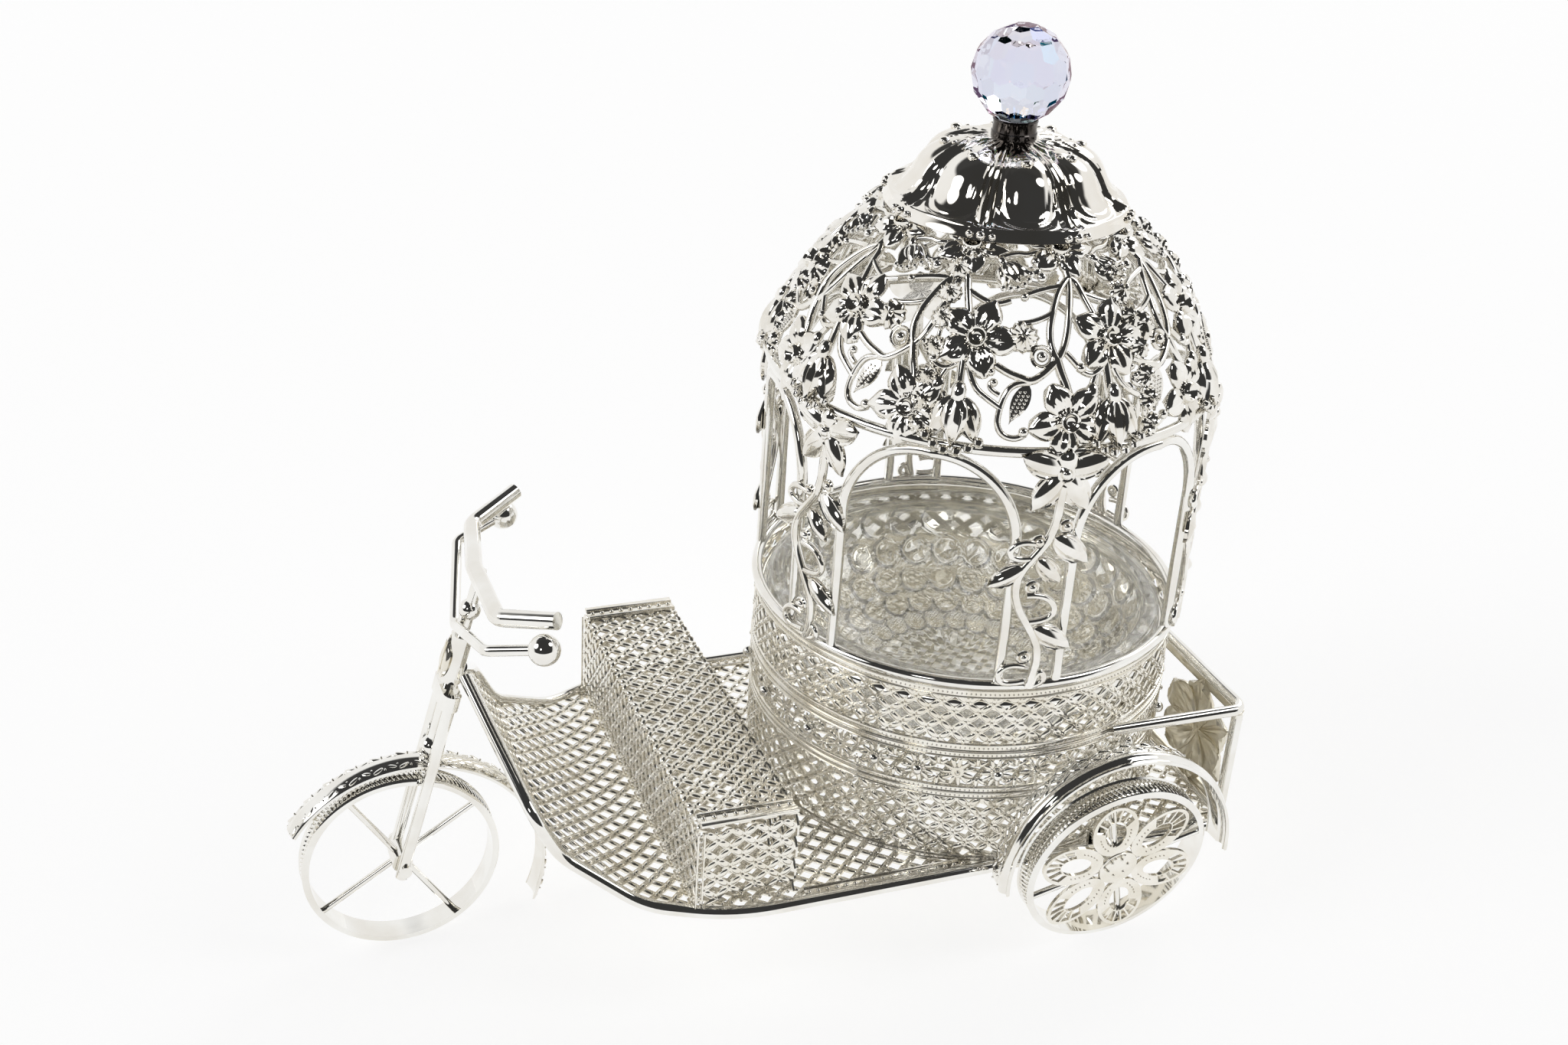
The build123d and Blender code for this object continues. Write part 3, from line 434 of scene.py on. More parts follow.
def spun(section, steps, start=0.0, angle=2 * pi):
    """A ring, or a part of one, turned from a closed section of (radius, height) points."""
    bm = bmesh.new()
    verts = [bm.verts.new((r * cos(start), r * sin(start), z)) for r, z in section]
    edges = [bm.edges.new((a, b)) for a, b in zip(verts, verts[1:] + verts[:1])]
    whole = angle >= 2 * pi
    if not whole:
        bm.faces.new(verts)
    geom = verts + edges if whole else bm.verts[:] + bm.edges[:] + bm.faces[:]
    bmesh.ops.spin(bm, geom=geom, cent=(0, 0, 0), axis=(0, 0, 1), angle=angle, steps=steps, use_merge=whole)
    bmesh.ops.remove_doubles(bm, verts=bm.verts[:], dist=1e-4)
    bmesh.ops.recalc_face_normals(bm, faces=bm.faces[:])
    return bm


def hoop(bm, inner, outer, low, high):
    """Adds a flat hoop with its edges a little broken."""
    e = min(0.25, (high - low) / 3, (outer - inner) / 3)
    section = [(inner, low), (outer - e, low), (outer, low + e), (outer, high - e), (outer - e, high), (inner, high)]
    bm.from_mesh(small_mesh(spun(section, hoop_steps)))


def dots_round(bm, bead, radius, height, count):
    """A ring of beads."""
    for i in range(count):
        angle = 2 * pi * i / count
        stamp(bm, bead, Matrix.Translation((radius * cos(angle), radius * sin(angle), height)))


def drum_band(low, high, dotted):
    """A lattice band with plain or dotted strips along its edges."""
    bm = lattice((0, low), (2 * pi * drum_r, high), long=drum_long, wide=drum_wide)
    round_drum(bm, drum_r - leaf_rise)
    for strip_low, strip_high in dotted:
        hoop(bm, drum_r - 1.1, drum_r - 0.1, strip_low, strip_high)
        for ridge in (strip_low, strip_high - 0.6):
            hoop(bm, drum_r - 0.6, drum_r + 0.2, ridge, ridge + 0.5)
        dots_round(bm, dot, drum_r - 0.1, (strip_low + strip_high) / 2, strip_dots)
    return bm


make_piece(
    drum_band(1.0, 34.0, ((0.2, 2.6), (33.0, 36.0))), "drum_lattice_low", deck, silver_lattice, "chassis",
    ["drum_lower_band"],
)
make_piece(
    drum_band(59.0, 85.0, ((57.0, 60.8), (83.8, 87.8))), "drum_lattice_high", deck, silver_lattice, "chassis",
    ["drum_upper_band"],
)

flower_mid_h = 46.4
first_flower, flower_pitch, flower_count = -124.2, 10.25, 35
ray_count = 11
ray = ball(1.0, 6, 5, squash=(2.7, 0.95, 0.45))
small_leaf = ball(1.0, 6, 5, squash=(2.4, 1.0, 0.7))
eye = ball(1.3)
flower_disc = small_mesh(spun([(0.0, 0.9), (1.6, 0.8), (2.9, 0.3), (2.9, -0.6), (0.0, -0.6)], 12))


def drum_place(angle, height, radius):
    """Place on the drum: across the strip, up, and outward."""
    a = radians(angle)
    return facing((-sin(a), cos(a), 0), (0, 0, 1), (cos(a), sin(a), 0), (radius * cos(a), radius * sin(a), height))


flower_band = bmesh.new()
for low, high in ((36.0, 39.2), (53.8, 57.0)):
    hoop(flower_band, drum_r - 1.1, drum_r + 0.1, low, high)
    for ridge in (low, high - 0.6):
        hoop(flower_band, drum_r - 0.6, drum_r + 0.5, ridge, ridge + 0.5)
    dots_round(flower_band, dot, drum_r + 0.1, (low + high) / 2, strip_dots)
for i in range(flower_count):
    angle = first_flower + flower_pitch * i
    centre = drum_place(angle, flower_mid_h, drum_r - 0.3)
    for k in range(ray_count):
        turn = Matrix.Rotation(2 * pi * (k + 0.5) / ray_count, 4, "Z")
        stamp(flower_band, ray, centre @ turn @ Matrix.Translation((4.6, 0, 0.2)))
    stamp(flower_band, flower_disc, centre)
    if i % 2:
        stamp(flower_band, eye, centre @ Matrix.Translation((0, 0, 0.7)))
    between = drum_place(angle + 5.1, flower_mid_h, drum_r - 0.3)
    for up in (-1, 1):
        for side in (-1, 0, 1):
            root = Matrix.Translation((side * 2.4, up * (5.3 - 0.7 * abs(side)), 0))
            leaf_turn = Matrix.Rotation(up * (pi / 2 - side * 0.85), 4, "Z")
            stamp(flower_band, small_leaf, between @ root @ leaf_turn)
        stamp(flower_band, dot, between @ Matrix.Translation((0, up * 2.0, 0.3)))
make_piece(flower_band, "drum_daisies", deck, silver_lattice, "chassis", ["drum_flower_band"])
dress(silver_wire, "drum_beads")

# Rear panel
# Three stamped flowers of six ribbed fan petals, plated on brass that shows warm where it is sheltered.
# They are soldered between two strips under the rail.
panel_x = 97.2
panel_flower_r = 28.0
panel_flower_h, panel_flower_pitch = 28.0, 62.0
panel_half = 92.2
panel_bead = ball(0.9, 6, 4)
# Thin plate on stamped brass is left as it comes from the press: satin, and yellow in the hollows.
silver_stamping = silver_plate("silver plated stamping", "#F6F0DF", "#ECE2C8", (0.12, 0.22), 18, 8, metallic=0.55)


def ribbed_petal(length, width, ribs, rib_depth, cup, thickness, shape, along=12, across=16, fade=0.5):
    """A petal pressed from thin sheet: ribs fan out from its root, and it is dished along its length."""
    bm = bmesh.new()
    bmesh.ops.create_grid(bm, x_segments=along, y_segments=across, size=1)
    for v in bm.verts:
        s, t = (v.co.x + 1) / 2, v.co.y
        rib = rib_depth * cos(ribs * pi * t) * min(1, 2.5 * s) * max(0.0, 1 - fade * s * s)
        reach = length * s * (1 - 0.12 * t * t * s)
        v.co = Vector((reach, t * width / 2 * shape(s), rib + cup * (4 * s * (1 - s) - 1.2 * s * t * t)))
    bmesh.ops.solidify(bm, geom=bm.faces[:], thickness=thickness)
    return bm


def fan(s):
    """Width of a fan petal along its length."""
    return 0.16 + 0.84 * sin(min(1.0, s / 0.78) * pi / 2) ** 1.2 * sqrt(max(0.0, 1 - max(0.0, (s - 0.72) / 0.285) ** 2))


panel_place = facing((0, 1, 0), (0, 0, 1), (1, 0, 0), (panel_x, 0, 0))
rear_panel = bmesh.new()
fan_petal = small_mesh(ribbed_petal(panel_flower_r - 1, 21.0, 7, 0.5, 2.2, 0.8, fan))
for i in (-1, 0, 1):
    centre = panel_place @ Matrix.Translation((panel_flower_pitch * i, panel_flower_h, -0.4))
    for k in range(6):
        stamp(rear_panel, fan_petal, centre @ Matrix.Rotation(pi / 3 * k + pi / 6, 4, "Z"))
    for k in range(8):
        stamp(rear_panel, eye, centre @ Matrix.Rotation(pi / 4 * k, 4, "Z") @ Matrix.Translation((2.6, 0, 0.9)))
    stamp(rear_panel, eye, centre @ Matrix.Translation((0, 0, 1.4)))
for low, high in ((51.5, 57.4), (1.0, 5.0)):
    part = bmesh.new()
    bar(part, (-panel_half, low, -0.8), (panel_half, high, 0.2))
    for y in (low + 0.2, high - 1.0):
        bar(part, (-panel_half, y, -0.8), (panel_half, y + 0.8, 0.8), 0.2)
    bead_row(part, panel_bead, (-90, (low + high) / 2, 0.2), (90, (low + high) / 2, 0.2), 3.2)
    stamp(rear_panel, small_mesh(part), panel_place)
make_piece(rear_panel, "rear_flowers", deck, silver_stamping, "chassis", ["rear_flower_panel"])

# Rear fenders
# Half rounds of strip over the rear wheels: a rolled round along the outside with a thin lip, and a band of
# pressed scrolls along the inside. Their ends rest on the border wires.
wheel_r = 42.9
rear_x = 128.54
rear_fender_r, rear_fender_y = 53.5, (101.5, 116.6)
rear_fender_start, rear_fender_sweep = -6.0, 187.0
rear_scrolls, rear_scroll_pitch = ((0.13, 0.7), (0.36, 0.9)), 5.2
fender_t = 1.2
# Across the strip from the inside: share of its width, and rise
rear_strip = [
    (0.0, 0.0), (0.04, 0.6), (0.46, 0.9), (0.5, 0.7), (0.56, 1.6), (0.65, 2.3), (0.74, 2.2), (0.82, 1.4), (0.87, 0.5),
    (0.93, 0.5), (0.97, 0.9), (1.0, 0.6),
]
scroll_leaf = ball(1.0, 6, 5, squash=(2.6, 1.0, 0.4))
scroll_dot = ball(0.5, 6, 4)


def fender(centre, radius, y_in, y_out, profile, start, sweep, scrolls, scroll_pitch):
    """Strip bent round a wheel and shaped across by a profile, with scrolls of (share, rise) pressed along it."""
    outer = [(radius + rise, -(y_in + (y_out - y_in) * share)) for share, rise in profile]
    bm = spun(outer + [(r - fender_t, y) for r, y in reversed(outer)], 72, radians(start), radians(sweep))
    count = round(radians(sweep) * radius / scroll_pitch)
    for row, (share, rise) in enumerate(scrolls):
        for i in range(count):
            angle = radians(start + sweep * (i + 0.5) / count)
            way = 1 if (i + row) % 2 else -1
            out, across = radius + rise, -(y_in + (y_out - y_in) * share)
            around = drum_place(0, 0, out)
            around = Matrix.Rotation(angle, 4, "Z") @ Matrix.Translation((0, 0, across)) @ around
            stamp(bm, scroll_leaf, around @ Matrix.Translation((0, 0.5 * way, 0)) @ Matrix.Rotation(0.5 * way, 4, "Z"))
            stamp(bm, scroll_dot, around @ Matrix.Translation((scroll_pitch / 2, -0.9 * way, 0)))
    upright = facing((1, 0, 0), (0, 0, 1), (0, -1, 0), (centre[0], 0, centre[1]))
    bmesh.ops.transform(bm, matrix=upright, verts=bm.verts[:])
    return bm


for name, side in (("left", -1), ("right", 1)):
    y_in, y_out = [side * y for y in rear_fender_y]
    strip = fender(
        (rear_x + 0.5, wheel_r), rear_fender_r, y_in, y_out, rear_strip, rear_fender_start, rear_fender_sweep,
        rear_scrolls, rear_scroll_pitch,
    )
    make_piece(strip, f"fender_{name}", millimetres, silver_wire, "chassis", [f"rear_fender_{name}"])

# Rear wheels
# A flat rim with slanted gadroons rolled into its tread, two crossed spoke wires, and in front of them a
# pierced rosette of six oval petals. The wheels lean out at the top on short stub axles.
rim_w, rim_t = 11.0, 3.0
rear_y, rear_h, camber = 109.7, 43.235, radians(8.9)
rosette_low, rosette_t, rosette_turn = 4.9, 1.4, 48.0
gadroon, gadroon_count, gadroon_slant = ball(1.0, 6, 5, squash=(4.7, 1.0, 1.0)), 120, 0.45
petal_dot = ball(0.42, 6, 4)
hub_dot = ball(0.75, 6, 4)


def wheel_rim():
    """Flat rim with a gadrooned tread."""
    half, inner = rim_w / 2, wheel_r - rim_t
    tread = wheel_r - 1.0
    lower = [(inner, -half), (tread, -half), (wheel_r, -half + 0.8), (tread, -half + 1.5)]
    bm = spun(lower + [(r, -y) for r, y in reversed(lower)], gadroon_count)
    upright = Matrix.Rotation(pi / 2, 4, "Y")
    slanted = Matrix.Translation((tread, 0, 0)) @ Matrix.Rotation(gadroon_slant, 4, "X") @ upright
    for i in range(gadroon_count):
        stamp(bm, gadroon, Matrix.Rotation(2 * pi * i / gadroon_count, 4, "Z") @ slanted)
    return bm


def rosette_petal():
    """One oval petal: an oval window, slots fanned round its outer end and rows of dots beside the window."""
    bm = bmesh.new()
    bmesh.ops.create_circle(bm, cap_ends=True, segments=28, radius=1, matrix=Matrix.Diagonal((15.0, 10.9, 1, 1)))
    bmesh.ops.inset_individual(bm, faces=bm.faces[:], thickness=1.1)
    plate = max(bm.faces, key=lambda f: len(f.verts))
    between = bmesh.ops.inset_individual(bm, faces=[plate], thickness=4.4)["faces"]
    for v in plate.verts:
        v.co.x = v.co.x * 0.84 - 1.8
        v.co.y *= 0.92
    ring = sorted(between, key=lambda f: atan2(f.calc_center_median().y, f.calc_center_median().x))
    doubled = [e for a, b in zip(ring[::2], ring[1::2]) for e in set(a.edges) & set(b.edges)]
    bmesh.ops.dissolve_edges(bm, edges=doubled)
    slots = [f for f in bm.faces if len(f.verts) == 6 and f.calc_center_median().x > 1.0]
    bmesh.ops.inset_individual(bm, faces=slots, thickness=0.6)
    bmesh.ops.delete(bm, geom=slots + [plate], context="FACES_ONLY")
    bmesh.ops.solidify(bm, geom=bm.faces[:], thickness=rosette_t)
    for side in (-1, 1):
        for k in range(5):
            bead = Vector((-10.4 + 2.0 * k, side * (4.2 + 1.35 * k - 0.15 * k * k), 0.1))
            stamp(bm, petal_dot, Matrix.Translation(bead))
    return bm


def rosette(phase):
    """Six petals round a hub disc with dots."""
    bm = bmesh.new()
    petal = small_mesh(rosette_petal())
    top = rosette_low + rosette_t
    for k in range(6):
        turn = Matrix.Rotation(phase + pi / 3 * k, 4, "Z")
        stamp(bm, petal, turn @ Matrix.Translation((23.9, 0, top)))
        turn = Matrix.Rotation(phase + pi / 3 * (k + 0.5), 4, "Z")
        stamp(bm, hub_dot, turn @ Matrix.Translation((4.6, 0, top + 0.1)))
    disc = [(0, rosette_low), (9.0, rosette_low), (9.4, top - 0.4), (9.0, top + 0.35), (8.2, top + 0.35)]
    bm.from_mesh(small_mesh(spun(disc + [(7.8, top), (0, top)], 48)))
    return bm


for name, side in (("left", -1), ("right", 1)):
    outward = Vector((0, side * cos(camber), -sin(camber)))
    across = Vector((-side, 0, 0))
    wheel = millimetres @ facing(across, outward.cross(across), outward, (rear_x, side * rear_y, rear_h))
    body = f"rear_wheel_{name}"
    make_piece(wheel_rim(), f"rim_{name}", wheel, silver_wire, body, [f"rear_rim_{name}"])
    phase = radians(90.0 + side * rosette_turn)
    make_piece(
        rosette(phase), f"rosette_plate_{name}", wheel, silver_lattice, body, [f"rosette_{name}"]
    )
    dress(silver_wire, f"rear_spokes_{name}", f"rear_hub_{name}", f"rear_axle_{name}")

# Front wheel
# The same gadrooned rim as behind, with two crossed spoke wires soldered into it and a plain hub that turns
# on an axle between the fork legs. All of it is silver plated.
front_x = -161.96
front_wheel = millimetres @ facing((1, 0, 0), (0, 0, 1), (0, -1, 0), (front_x, 0, wheel_r))
make_piece(wheel_rim(), "rim_front", front_wheel, silver_wire, "front_wheel", ["front_rim"])
dress(silver_wire, "front_spokes", "front_hub")

# Steering head and bars
# Wire legs, a stem in a sleeve and two bent bars with balls, all polished and soldered, and a small cast
# leaf soldered on the front of the sleeve.
rake = radians(18.9)
steer = millimetres @ Matrix.Translation((front_x, 0, wheel_r)) @ Matrix.Rotation(rake, 4, "Y")
dress(
    silver_wire, "head_sleeve", "steerer_stem", "head_ball", "fork_crown", "fork_leg_left", "fork_leg_right",
    "front_axle", "handlebar", "lever_bar", "lever_balls", "fender_ball",
)


def pointed(s):
    """Width of a pointed leaf along its length."""
    return sin(pi * s**0.85) ** 0.75


head_leaf_long, head_leaf_wide = 21.0, 9.6
head_leaf = ribbed_petal(head_leaf_long, head_leaf_wide, 5, 0.35, 1.0, 0.9, pointed)
leaf_rib = ball(1.0, 6, 5, squash=(9.0, 0.6, 0.5))
stamp(head_leaf, leaf_rib, Matrix.Translation((10.0, 0, 1.2)))
leaf_place = facing((0, 0, 1), (0, 1, 0), (-1, 0, 0), (-4.9, 0, 90.5))
make_piece(head_leaf, "head_leaf_casting", steer @ leaf_place, silver_lattice, "chassis", ["head_leaf"])

# Front fender
# A narrow domed strip over the front wheel with a pressed scroll along both edges, soldered to a spacer
# ball under the stem.
front_profile = [(0.0, 0.0), (0.06, 0.6), (0.3, 1.5), (0.5, 2.1), (0.7, 1.5), (0.94, 0.6), (1.0, 0.0)]
front_fender_centre, front_fender_r, front_fender_half = (front_x + 3.5, wheel_r - 10.0), 59.0, 6.2
front_fender_start, front_fender_sweep = -26.4, 169.9
front_scrolls, front_scroll_pitch = ((0.2, 1.1), (0.8, 1.1)), 5.4
front_strip = fender(
    front_fender_centre, front_fender_r, -front_fender_half, front_fender_half, front_profile, front_fender_start,
    front_fender_sweep, front_scrolls, front_scroll_pitch,
)
make_piece(front_strip, "fender_front", millimetres, silver_wire, "steering", ["front_fender"])

# Glass bowl
# Pressed soda glass with rows of round bosses moulded on its outside, a ring of balls round its floor and a
# plain rim. It hangs in the drum by that rim and lifts out.
bowl_r, bowl_rim_low, bowl_rim_top = 89.2, 82.4, 88.4
bowl_floor, bowl_wall, bowl_foot_r = 36.0, 4.0, 36.0
bowl_lip, bowl_flat_r, bowl_steps = 2.6, 18, 330
# Rows of bosses: length up the wall, half height, half width, and how far they stand out
outer_bosses = [
    (7.0, 5.2, 5.2, 2.8), (19.5, 6.6, 6.6, 3.2), (33.5, 7.4, 7.4, 3.4), (48.5, 7.8, 7.8, 3.4), (64.0, 7.6, 8.2, 3.0),
]
floor_balls = [(5.2, 4.9, 5.2, 3.6)]


def arc_through(a, b, c, count):
    """Points on the arc through three points, without the first."""
    (ax, ay), (bx, by), (cx, cy) = a, b, c
    d = 2 * (ax * (by - cy) + bx * (cy - ay) + cx * (ay - by))
    aa, bb, cc = ax * ax + ay * ay, bx * bx + by * by, cx * cx + cy * cy
    middle_x = (aa * (by - cy) + bb * (cy - ay) + cc * (ay - by)) / d
    middle_y = (aa * (cx - bx) + bb * (ax - cx) + cc * (bx - ax)) / d
    middle = Vector((middle_x, middle_y))
    first, last = Vector(a) - middle, Vector(c) - middle
    sweep = first.angle_signed(last)
    return [middle + Matrix.Rotation(-sweep * i / count, 2) @ first for i in range(1, count + 1)]


def emboss(bm, points, rows, outward):
    """Raises rows of round bosses on a wall that was turned from points, in a whole number round it."""
    heights = [p.y for p in points]
    lengths = [0.0]
    for a, b in zip(points, points[1:]):
        lengths.append(lengths[-1] + (b - a).length)
    counts = [round(pi * points[bisect(lengths, row[0])].x / row[2]) for row in rows]
    for v in bm.verts:
        flat = hypot(v.co.x, v.co.y)
        i = min(len(points) - 2, bisect(heights, v.co.z - 0.002))
        if i < 1 or abs(v.co.z - heights[i]) > 0.004 or abs(flat - points[i].x) > 0.02:
            continue
        lift = 0.0
        for k, (along, half_height, _, out) in enumerate(rows):
            across = ((atan2(v.co.y, v.co.x) / (2 * pi) * counts[k] + 0.5 * (k % 2)) % 1 - 0.5) * 2
            up = (lengths[i] - along) / half_height
            lift = max(lift, out * sqrt(max(0.0, 1 - across * across - up * up)))
        way = (points[i + 1] - points[i - 1]).normalized() * lift * outward
        v.co += Vector((v.co.x / flat * way.y, v.co.y / flat * way.y, -way.x))


# Clear glass takes its look from what stands behind it; its edges and bosses catch bright and dark lines.
glass, tree, shader = new_material(
    "pressed soda glass",
    {"Base Color": linear("#FDFCF5"), "Alpha": 0.7, "Transmission Weight": 1.0, "IOR": 1.46, "Roughness": 0.0},
)
# Chill marks of the mould: slow waves of about 15 mm in the surface.
uneven(tree, shader, 15, 0.2, 0.0)

foot, inner_foot = Vector((bowl_foot_r, bowl_floor)), Vector((bowl_foot_r, bowl_floor + bowl_wall))
inner_top = Vector((bowl_r - bowl_lip - bowl_wall, bowl_rim_top))
outer_wall = [foot] + arc_through(foot, (bowl_r - 20, bowl_floor + 16), (bowl_r - bowl_lip, bowl_rim_low), 72)
inner_wall = [inner_top] + arc_through(inner_top, (bowl_r - 24, bowl_floor + 19), inner_foot, 60)
bowl_section = [(0, bowl_floor), (bowl_flat_r, bowl_floor)] + [tuple(p) for p in outer_wall]
bowl_section += [(bowl_r, bowl_rim_low), (bowl_r, bowl_rim_top - 2), (bowl_r - 0.6, bowl_rim_top - 0.6)]
bowl_section += [(bowl_r - 2, bowl_rim_top)] + [tuple(p) for p in inner_wall]
bowl_section += [(bowl_flat_r, bowl_floor + bowl_wall), (0, bowl_floor + bowl_wall)]
bowl = spun(bowl_section, bowl_steps)
emboss(bowl, outer_wall, outer_bosses, 1)
emboss(bowl, inner_wall[::-1], floor_balls, -1)
make_piece(bowl, "hobnail_bowl", deck, glass, "bowl", ["glass_bowl"], 40)

# Cage
# A wire ring that lies on the drum, six wire arches and the ring that they carry, all polished wire, silver
# plated and soldered. It lifts off with the dome and the knob as one.
dress(silver_wire, "cage_ring", "cage_arches", "dome_ring")

# Vines
# Six castings soldered upright on the ring between the arches: a flower of glossy petals at the top, a
# winding stem, leaves, berries in rings and open loops.

# Castings are tumbled bright before they are plated, so every curve mirrors the room, softer in the hollows.
silver_casting = silver_plate("silver plated flower casting", "#F4F2ED", "#E5E1D8", (0.03, 0.08), 12, 4)
vine_in, vine_count, first_vine = 95.6, 6, -99
stem_half, loop_half = 1.9, 1.45
vine_stem = [
    (3.6, 184), (2.8, 175.6), (2.6, 167.8), (0, 159.3), (-5.8, 151.6), (-10, 145.8), (-11.5, 137.7), (-9.3, 129.4),
    (-4.7, 121.5), (0.1, 113.6), (2, 106.4), (1.3, 97.9), (-0.3, 90.9),
]
vine_loops = [
    [(-2.9, 158.1), (-11.2, 160.5), (-16.6, 154.8), (-11.9, 151.2), (-4.6, 151.9)],
    [(-6.2, 134.7), (1.2, 135), (7.6, 128.4), (4, 122.4), (-4.1, 122.2)],
    [(-3.5, 101.1), (-10, 102.9), (-15.1, 97.6), (-11.3, 92.3), (-2.6, 93.9)],
    [(0.9, 90.8), (2.9, 100.7), (7.7, 93.2), (1.2, 91.4)],
]
vine_flower = (3.4, 189.8)
vine_petals = [(-15.5, 197.6), (-9.1, 173.5), (14.1, 173.1), (21.4, 195.5), (4.9, 199.8)]
vine_leaves = [
    ((2.4, 161.2), (18, 149), 8.4), ((-1.5, 119.2), (15.8, 109), 7.8), ((-7.8, 148.0), (-23.5, 139.8), 7.0),
    ((-3.4, 151.5), (7.4, 140.1), 6.8),
]
vine_berries = [(6.9, 166), (-3.7, 159.5), (-4.2, 138.7), (-4, 105.7)]
berry = ball(1.9, 10, 8)


def wire(bm, points, radius):
    """A smooth round wire along points."""
    curve = bpy.data.curves.new("wire", "CURVE")
    curve.dimensions = "3D"
    spline = curve.splines.new("NURBS")
    spline.points.add(len(points) - 1)
    for point, place in zip(spline.points, points):
        point.co = (*place, 1)
    spline.order_u = 3
    spline.use_endpoint_u = True
    curve.bevel_depth = radius
    curve.bevel_resolution = 2
    curve.resolution_u = 4
    curve.use_fill_caps = True
    holder = bpy.data.objects.new("wire", curve)
    mesh = bpy.data.meshes.new_from_object(holder)
    bm.from_mesh(mesh)
    bpy.data.meshes.remove(mesh)
    bpy.data.objects.remove(holder)
    bpy.data.curves.remove(curve)


def full(s):
    """Width of a full petal along its length."""
    return sin(pi * s**0.9) ** 0.46


def spoon(length, width):
    """A glossy petal: a raised rim round a smooth convex middle."""
    bm = ribbed_petal(length, width, 0, 0, 0, 0.8, full, 14, 20)
    for v in bm.verts:
        if v.co.z > -0.4:
            s = min(0.99, max(0.01, v.co.x / length))
            t = abs(v.co.y) / max(0.2, width / 2 * full(s))
            rim = 0.8 * max(0.0, 1 - abs(t - 0.9) / 0.2)
            middle = 2.8 * max(0.0, 1 - (t / 0.76) ** 2) * sin(pi * s) ** 0.6
            v.co.z += max(rim, middle)
    return small_mesh(bm)


ring_eye = small_mesh(spun([(1.7, -0.6), (2.9, -0.6), (3.2, 0.3), (2.6, 0.9), (1.9, 0.5)], 16))
petal_long, leaf_long, leaf_wide = 18.0, 20.0, 8.0
long_petal, vine_leaf = spoon(petal_long, 12.0), spoon(leaf_long, 10.4)


def lay(base, tip, lift, made_long, widen):
    """Place of a leaf from its base to its tip in a flat plane, stretched to reach it."""
    way = Vector(tip) - Vector(base)
    turn = Matrix.Rotation(atan2(way.y, way.x), 4, "Z")
    return Matrix.Translation((*base, lift)) @ turn @ Matrix.Diagonal((way.length / made_long, widen, 1, 1))


vine = bmesh.new()
wire(vine, [(x, y, 1.2) for x, y in vine_stem], stem_half)
for loop in vine_loops:
    wire(vine, [(x, y, 1.3) for x, y in loop], loop_half)
for tip in vine_petals:
    stamp(vine, long_petal, lay(vine_flower, tip, 1.4, petal_long, 1))
for base, tip, width in vine_leaves:
    stamp(vine, vine_leaf, lay(base, tip, 1.2, leaf_long, width / leaf_wide))
for place, lift, swell in [(place, 1.6, 1) for place in vine_berries] + [(vine_flower, 2.8, 1.2)]:
    for shape, rise in ((ring_eye, lift), (berry, lift + 0.3)):
        stamp(vine, shape, Matrix.Translation((*place, rise)) @ Matrix.Diagonal((swell, swell, 1, 1)))
vine_mesh = small_mesh(vine)
vines = bmesh.new()
for i in range(vine_count):
    stamp(vines, vine_mesh, drum_place(first_vine + 360 / vine_count * i, 0, vine_in))
make_piece(vines, "vine_castings", deck, silver_casting, "cage", ["cage_vines"])

# Dome
# A shell of cast flowers, leaves, scrolls and stems soldered together, nine like sprays round, with six
# strings of daisy buttons over them and bell buds that hang above the ring.
dome_r, dome_centre = 95.0, 182.6
spray_count, first_spray = 9, -122.0
button_strings, first_string = 6, -133.0
button_heights = [256.6, 249.4, 241.5, 231.6, 221.6, 213.1, 203.4]


def dome_point(angle, height, lift=0.0):
    """Point on the dome."""
    a = radians(angle)
    flat = sqrt(dome_r**2 - (height - dome_centre) ** 2)
    out = Vector((flat * cos(a), flat * sin(a), height - dome_centre))
    return out * (1 + lift / dome_r) + Vector((0, 0, dome_centre))


def dome_place(angle, height, turn=0.0, lift=0.0):
    """Place on the dome: sideways, up the dome and outward, turned about the outward line."""
    a = radians(angle)
    point = dome_point(angle, height, lift)
    out = (point - Vector((0, 0, dome_centre))).normalized()
    side = Vector((-sin(a), cos(a), 0))
    return facing(side, out.cross(side), out, point) @ Matrix.Rotation(radians(turn), 4, "Z")


def dome_lay(base, start, end, lift=0.0):
    """Place on the dome at a start, turned so that its length points to an end."""
    place = dome_place(base + start[0], start[1], 0, lift)
    way = place.inverted() @ dome_point(base + end[0], end[1])
    return place @ Matrix.Rotation(atan2(way.y, way.x), 4, "Z")


def round_petal(s):
    """Width of a flower petal along its length."""
    return 0.24 + 0.76 * sin(pi * min(1.0, s * 0.86 + 0.05)) ** 0.9


def cast_flower(radius):
    """Five fluted petals round a hollow cup, the first along x."""
    bm = bmesh.new()
    petal = small_mesh(ribbed_petal(radius - 3.0, radius * 0.72, 3, 0.75, 1.7, 1.3, round_petal, 8, 12, 1.5))
    for k in range(5):
        stamp(bm, petal, Matrix.Rotation(2 * pi * k / 5, 4, "Z") @ Matrix.Translation((3.0, 0, 0.4)))
    cup = [(0.0, 0.7), (1.4, 0.9), (2.5, 1.7), (3.1, 3.2), (3.7, 3.6), (4.2, 3.0), (4.4, -0.4), (0.0, -0.6)]
    bm.from_mesh(small_mesh(spun(cup, 20)))
    return small_mesh(bm)


def daisy_button(radius):
    """A domed button with cut rays and a scalloped fringe."""
    steep = [(0.0, 3.1), (0.25, 2.9), (0.5, 2.5), (0.75, 1.7), (0.93, 0.7), (1.0, -0.2), (0.9, -0.8), (0.0, -0.8)]
    bm = spun([(radius * share, height) for share, height in steep], 24)
    for v in bm.verts:
        flat = hypot(v.co.x, v.co.y)
        if v.co.z > -0.5 and flat > 1.0:
            cut = cos(12 * atan2(v.co.y, v.co.x))
            v.co *= 1 + 0.07 * cut * flat / radius
            v.co.z += 0.22 * cut
    return small_mesh(bm)


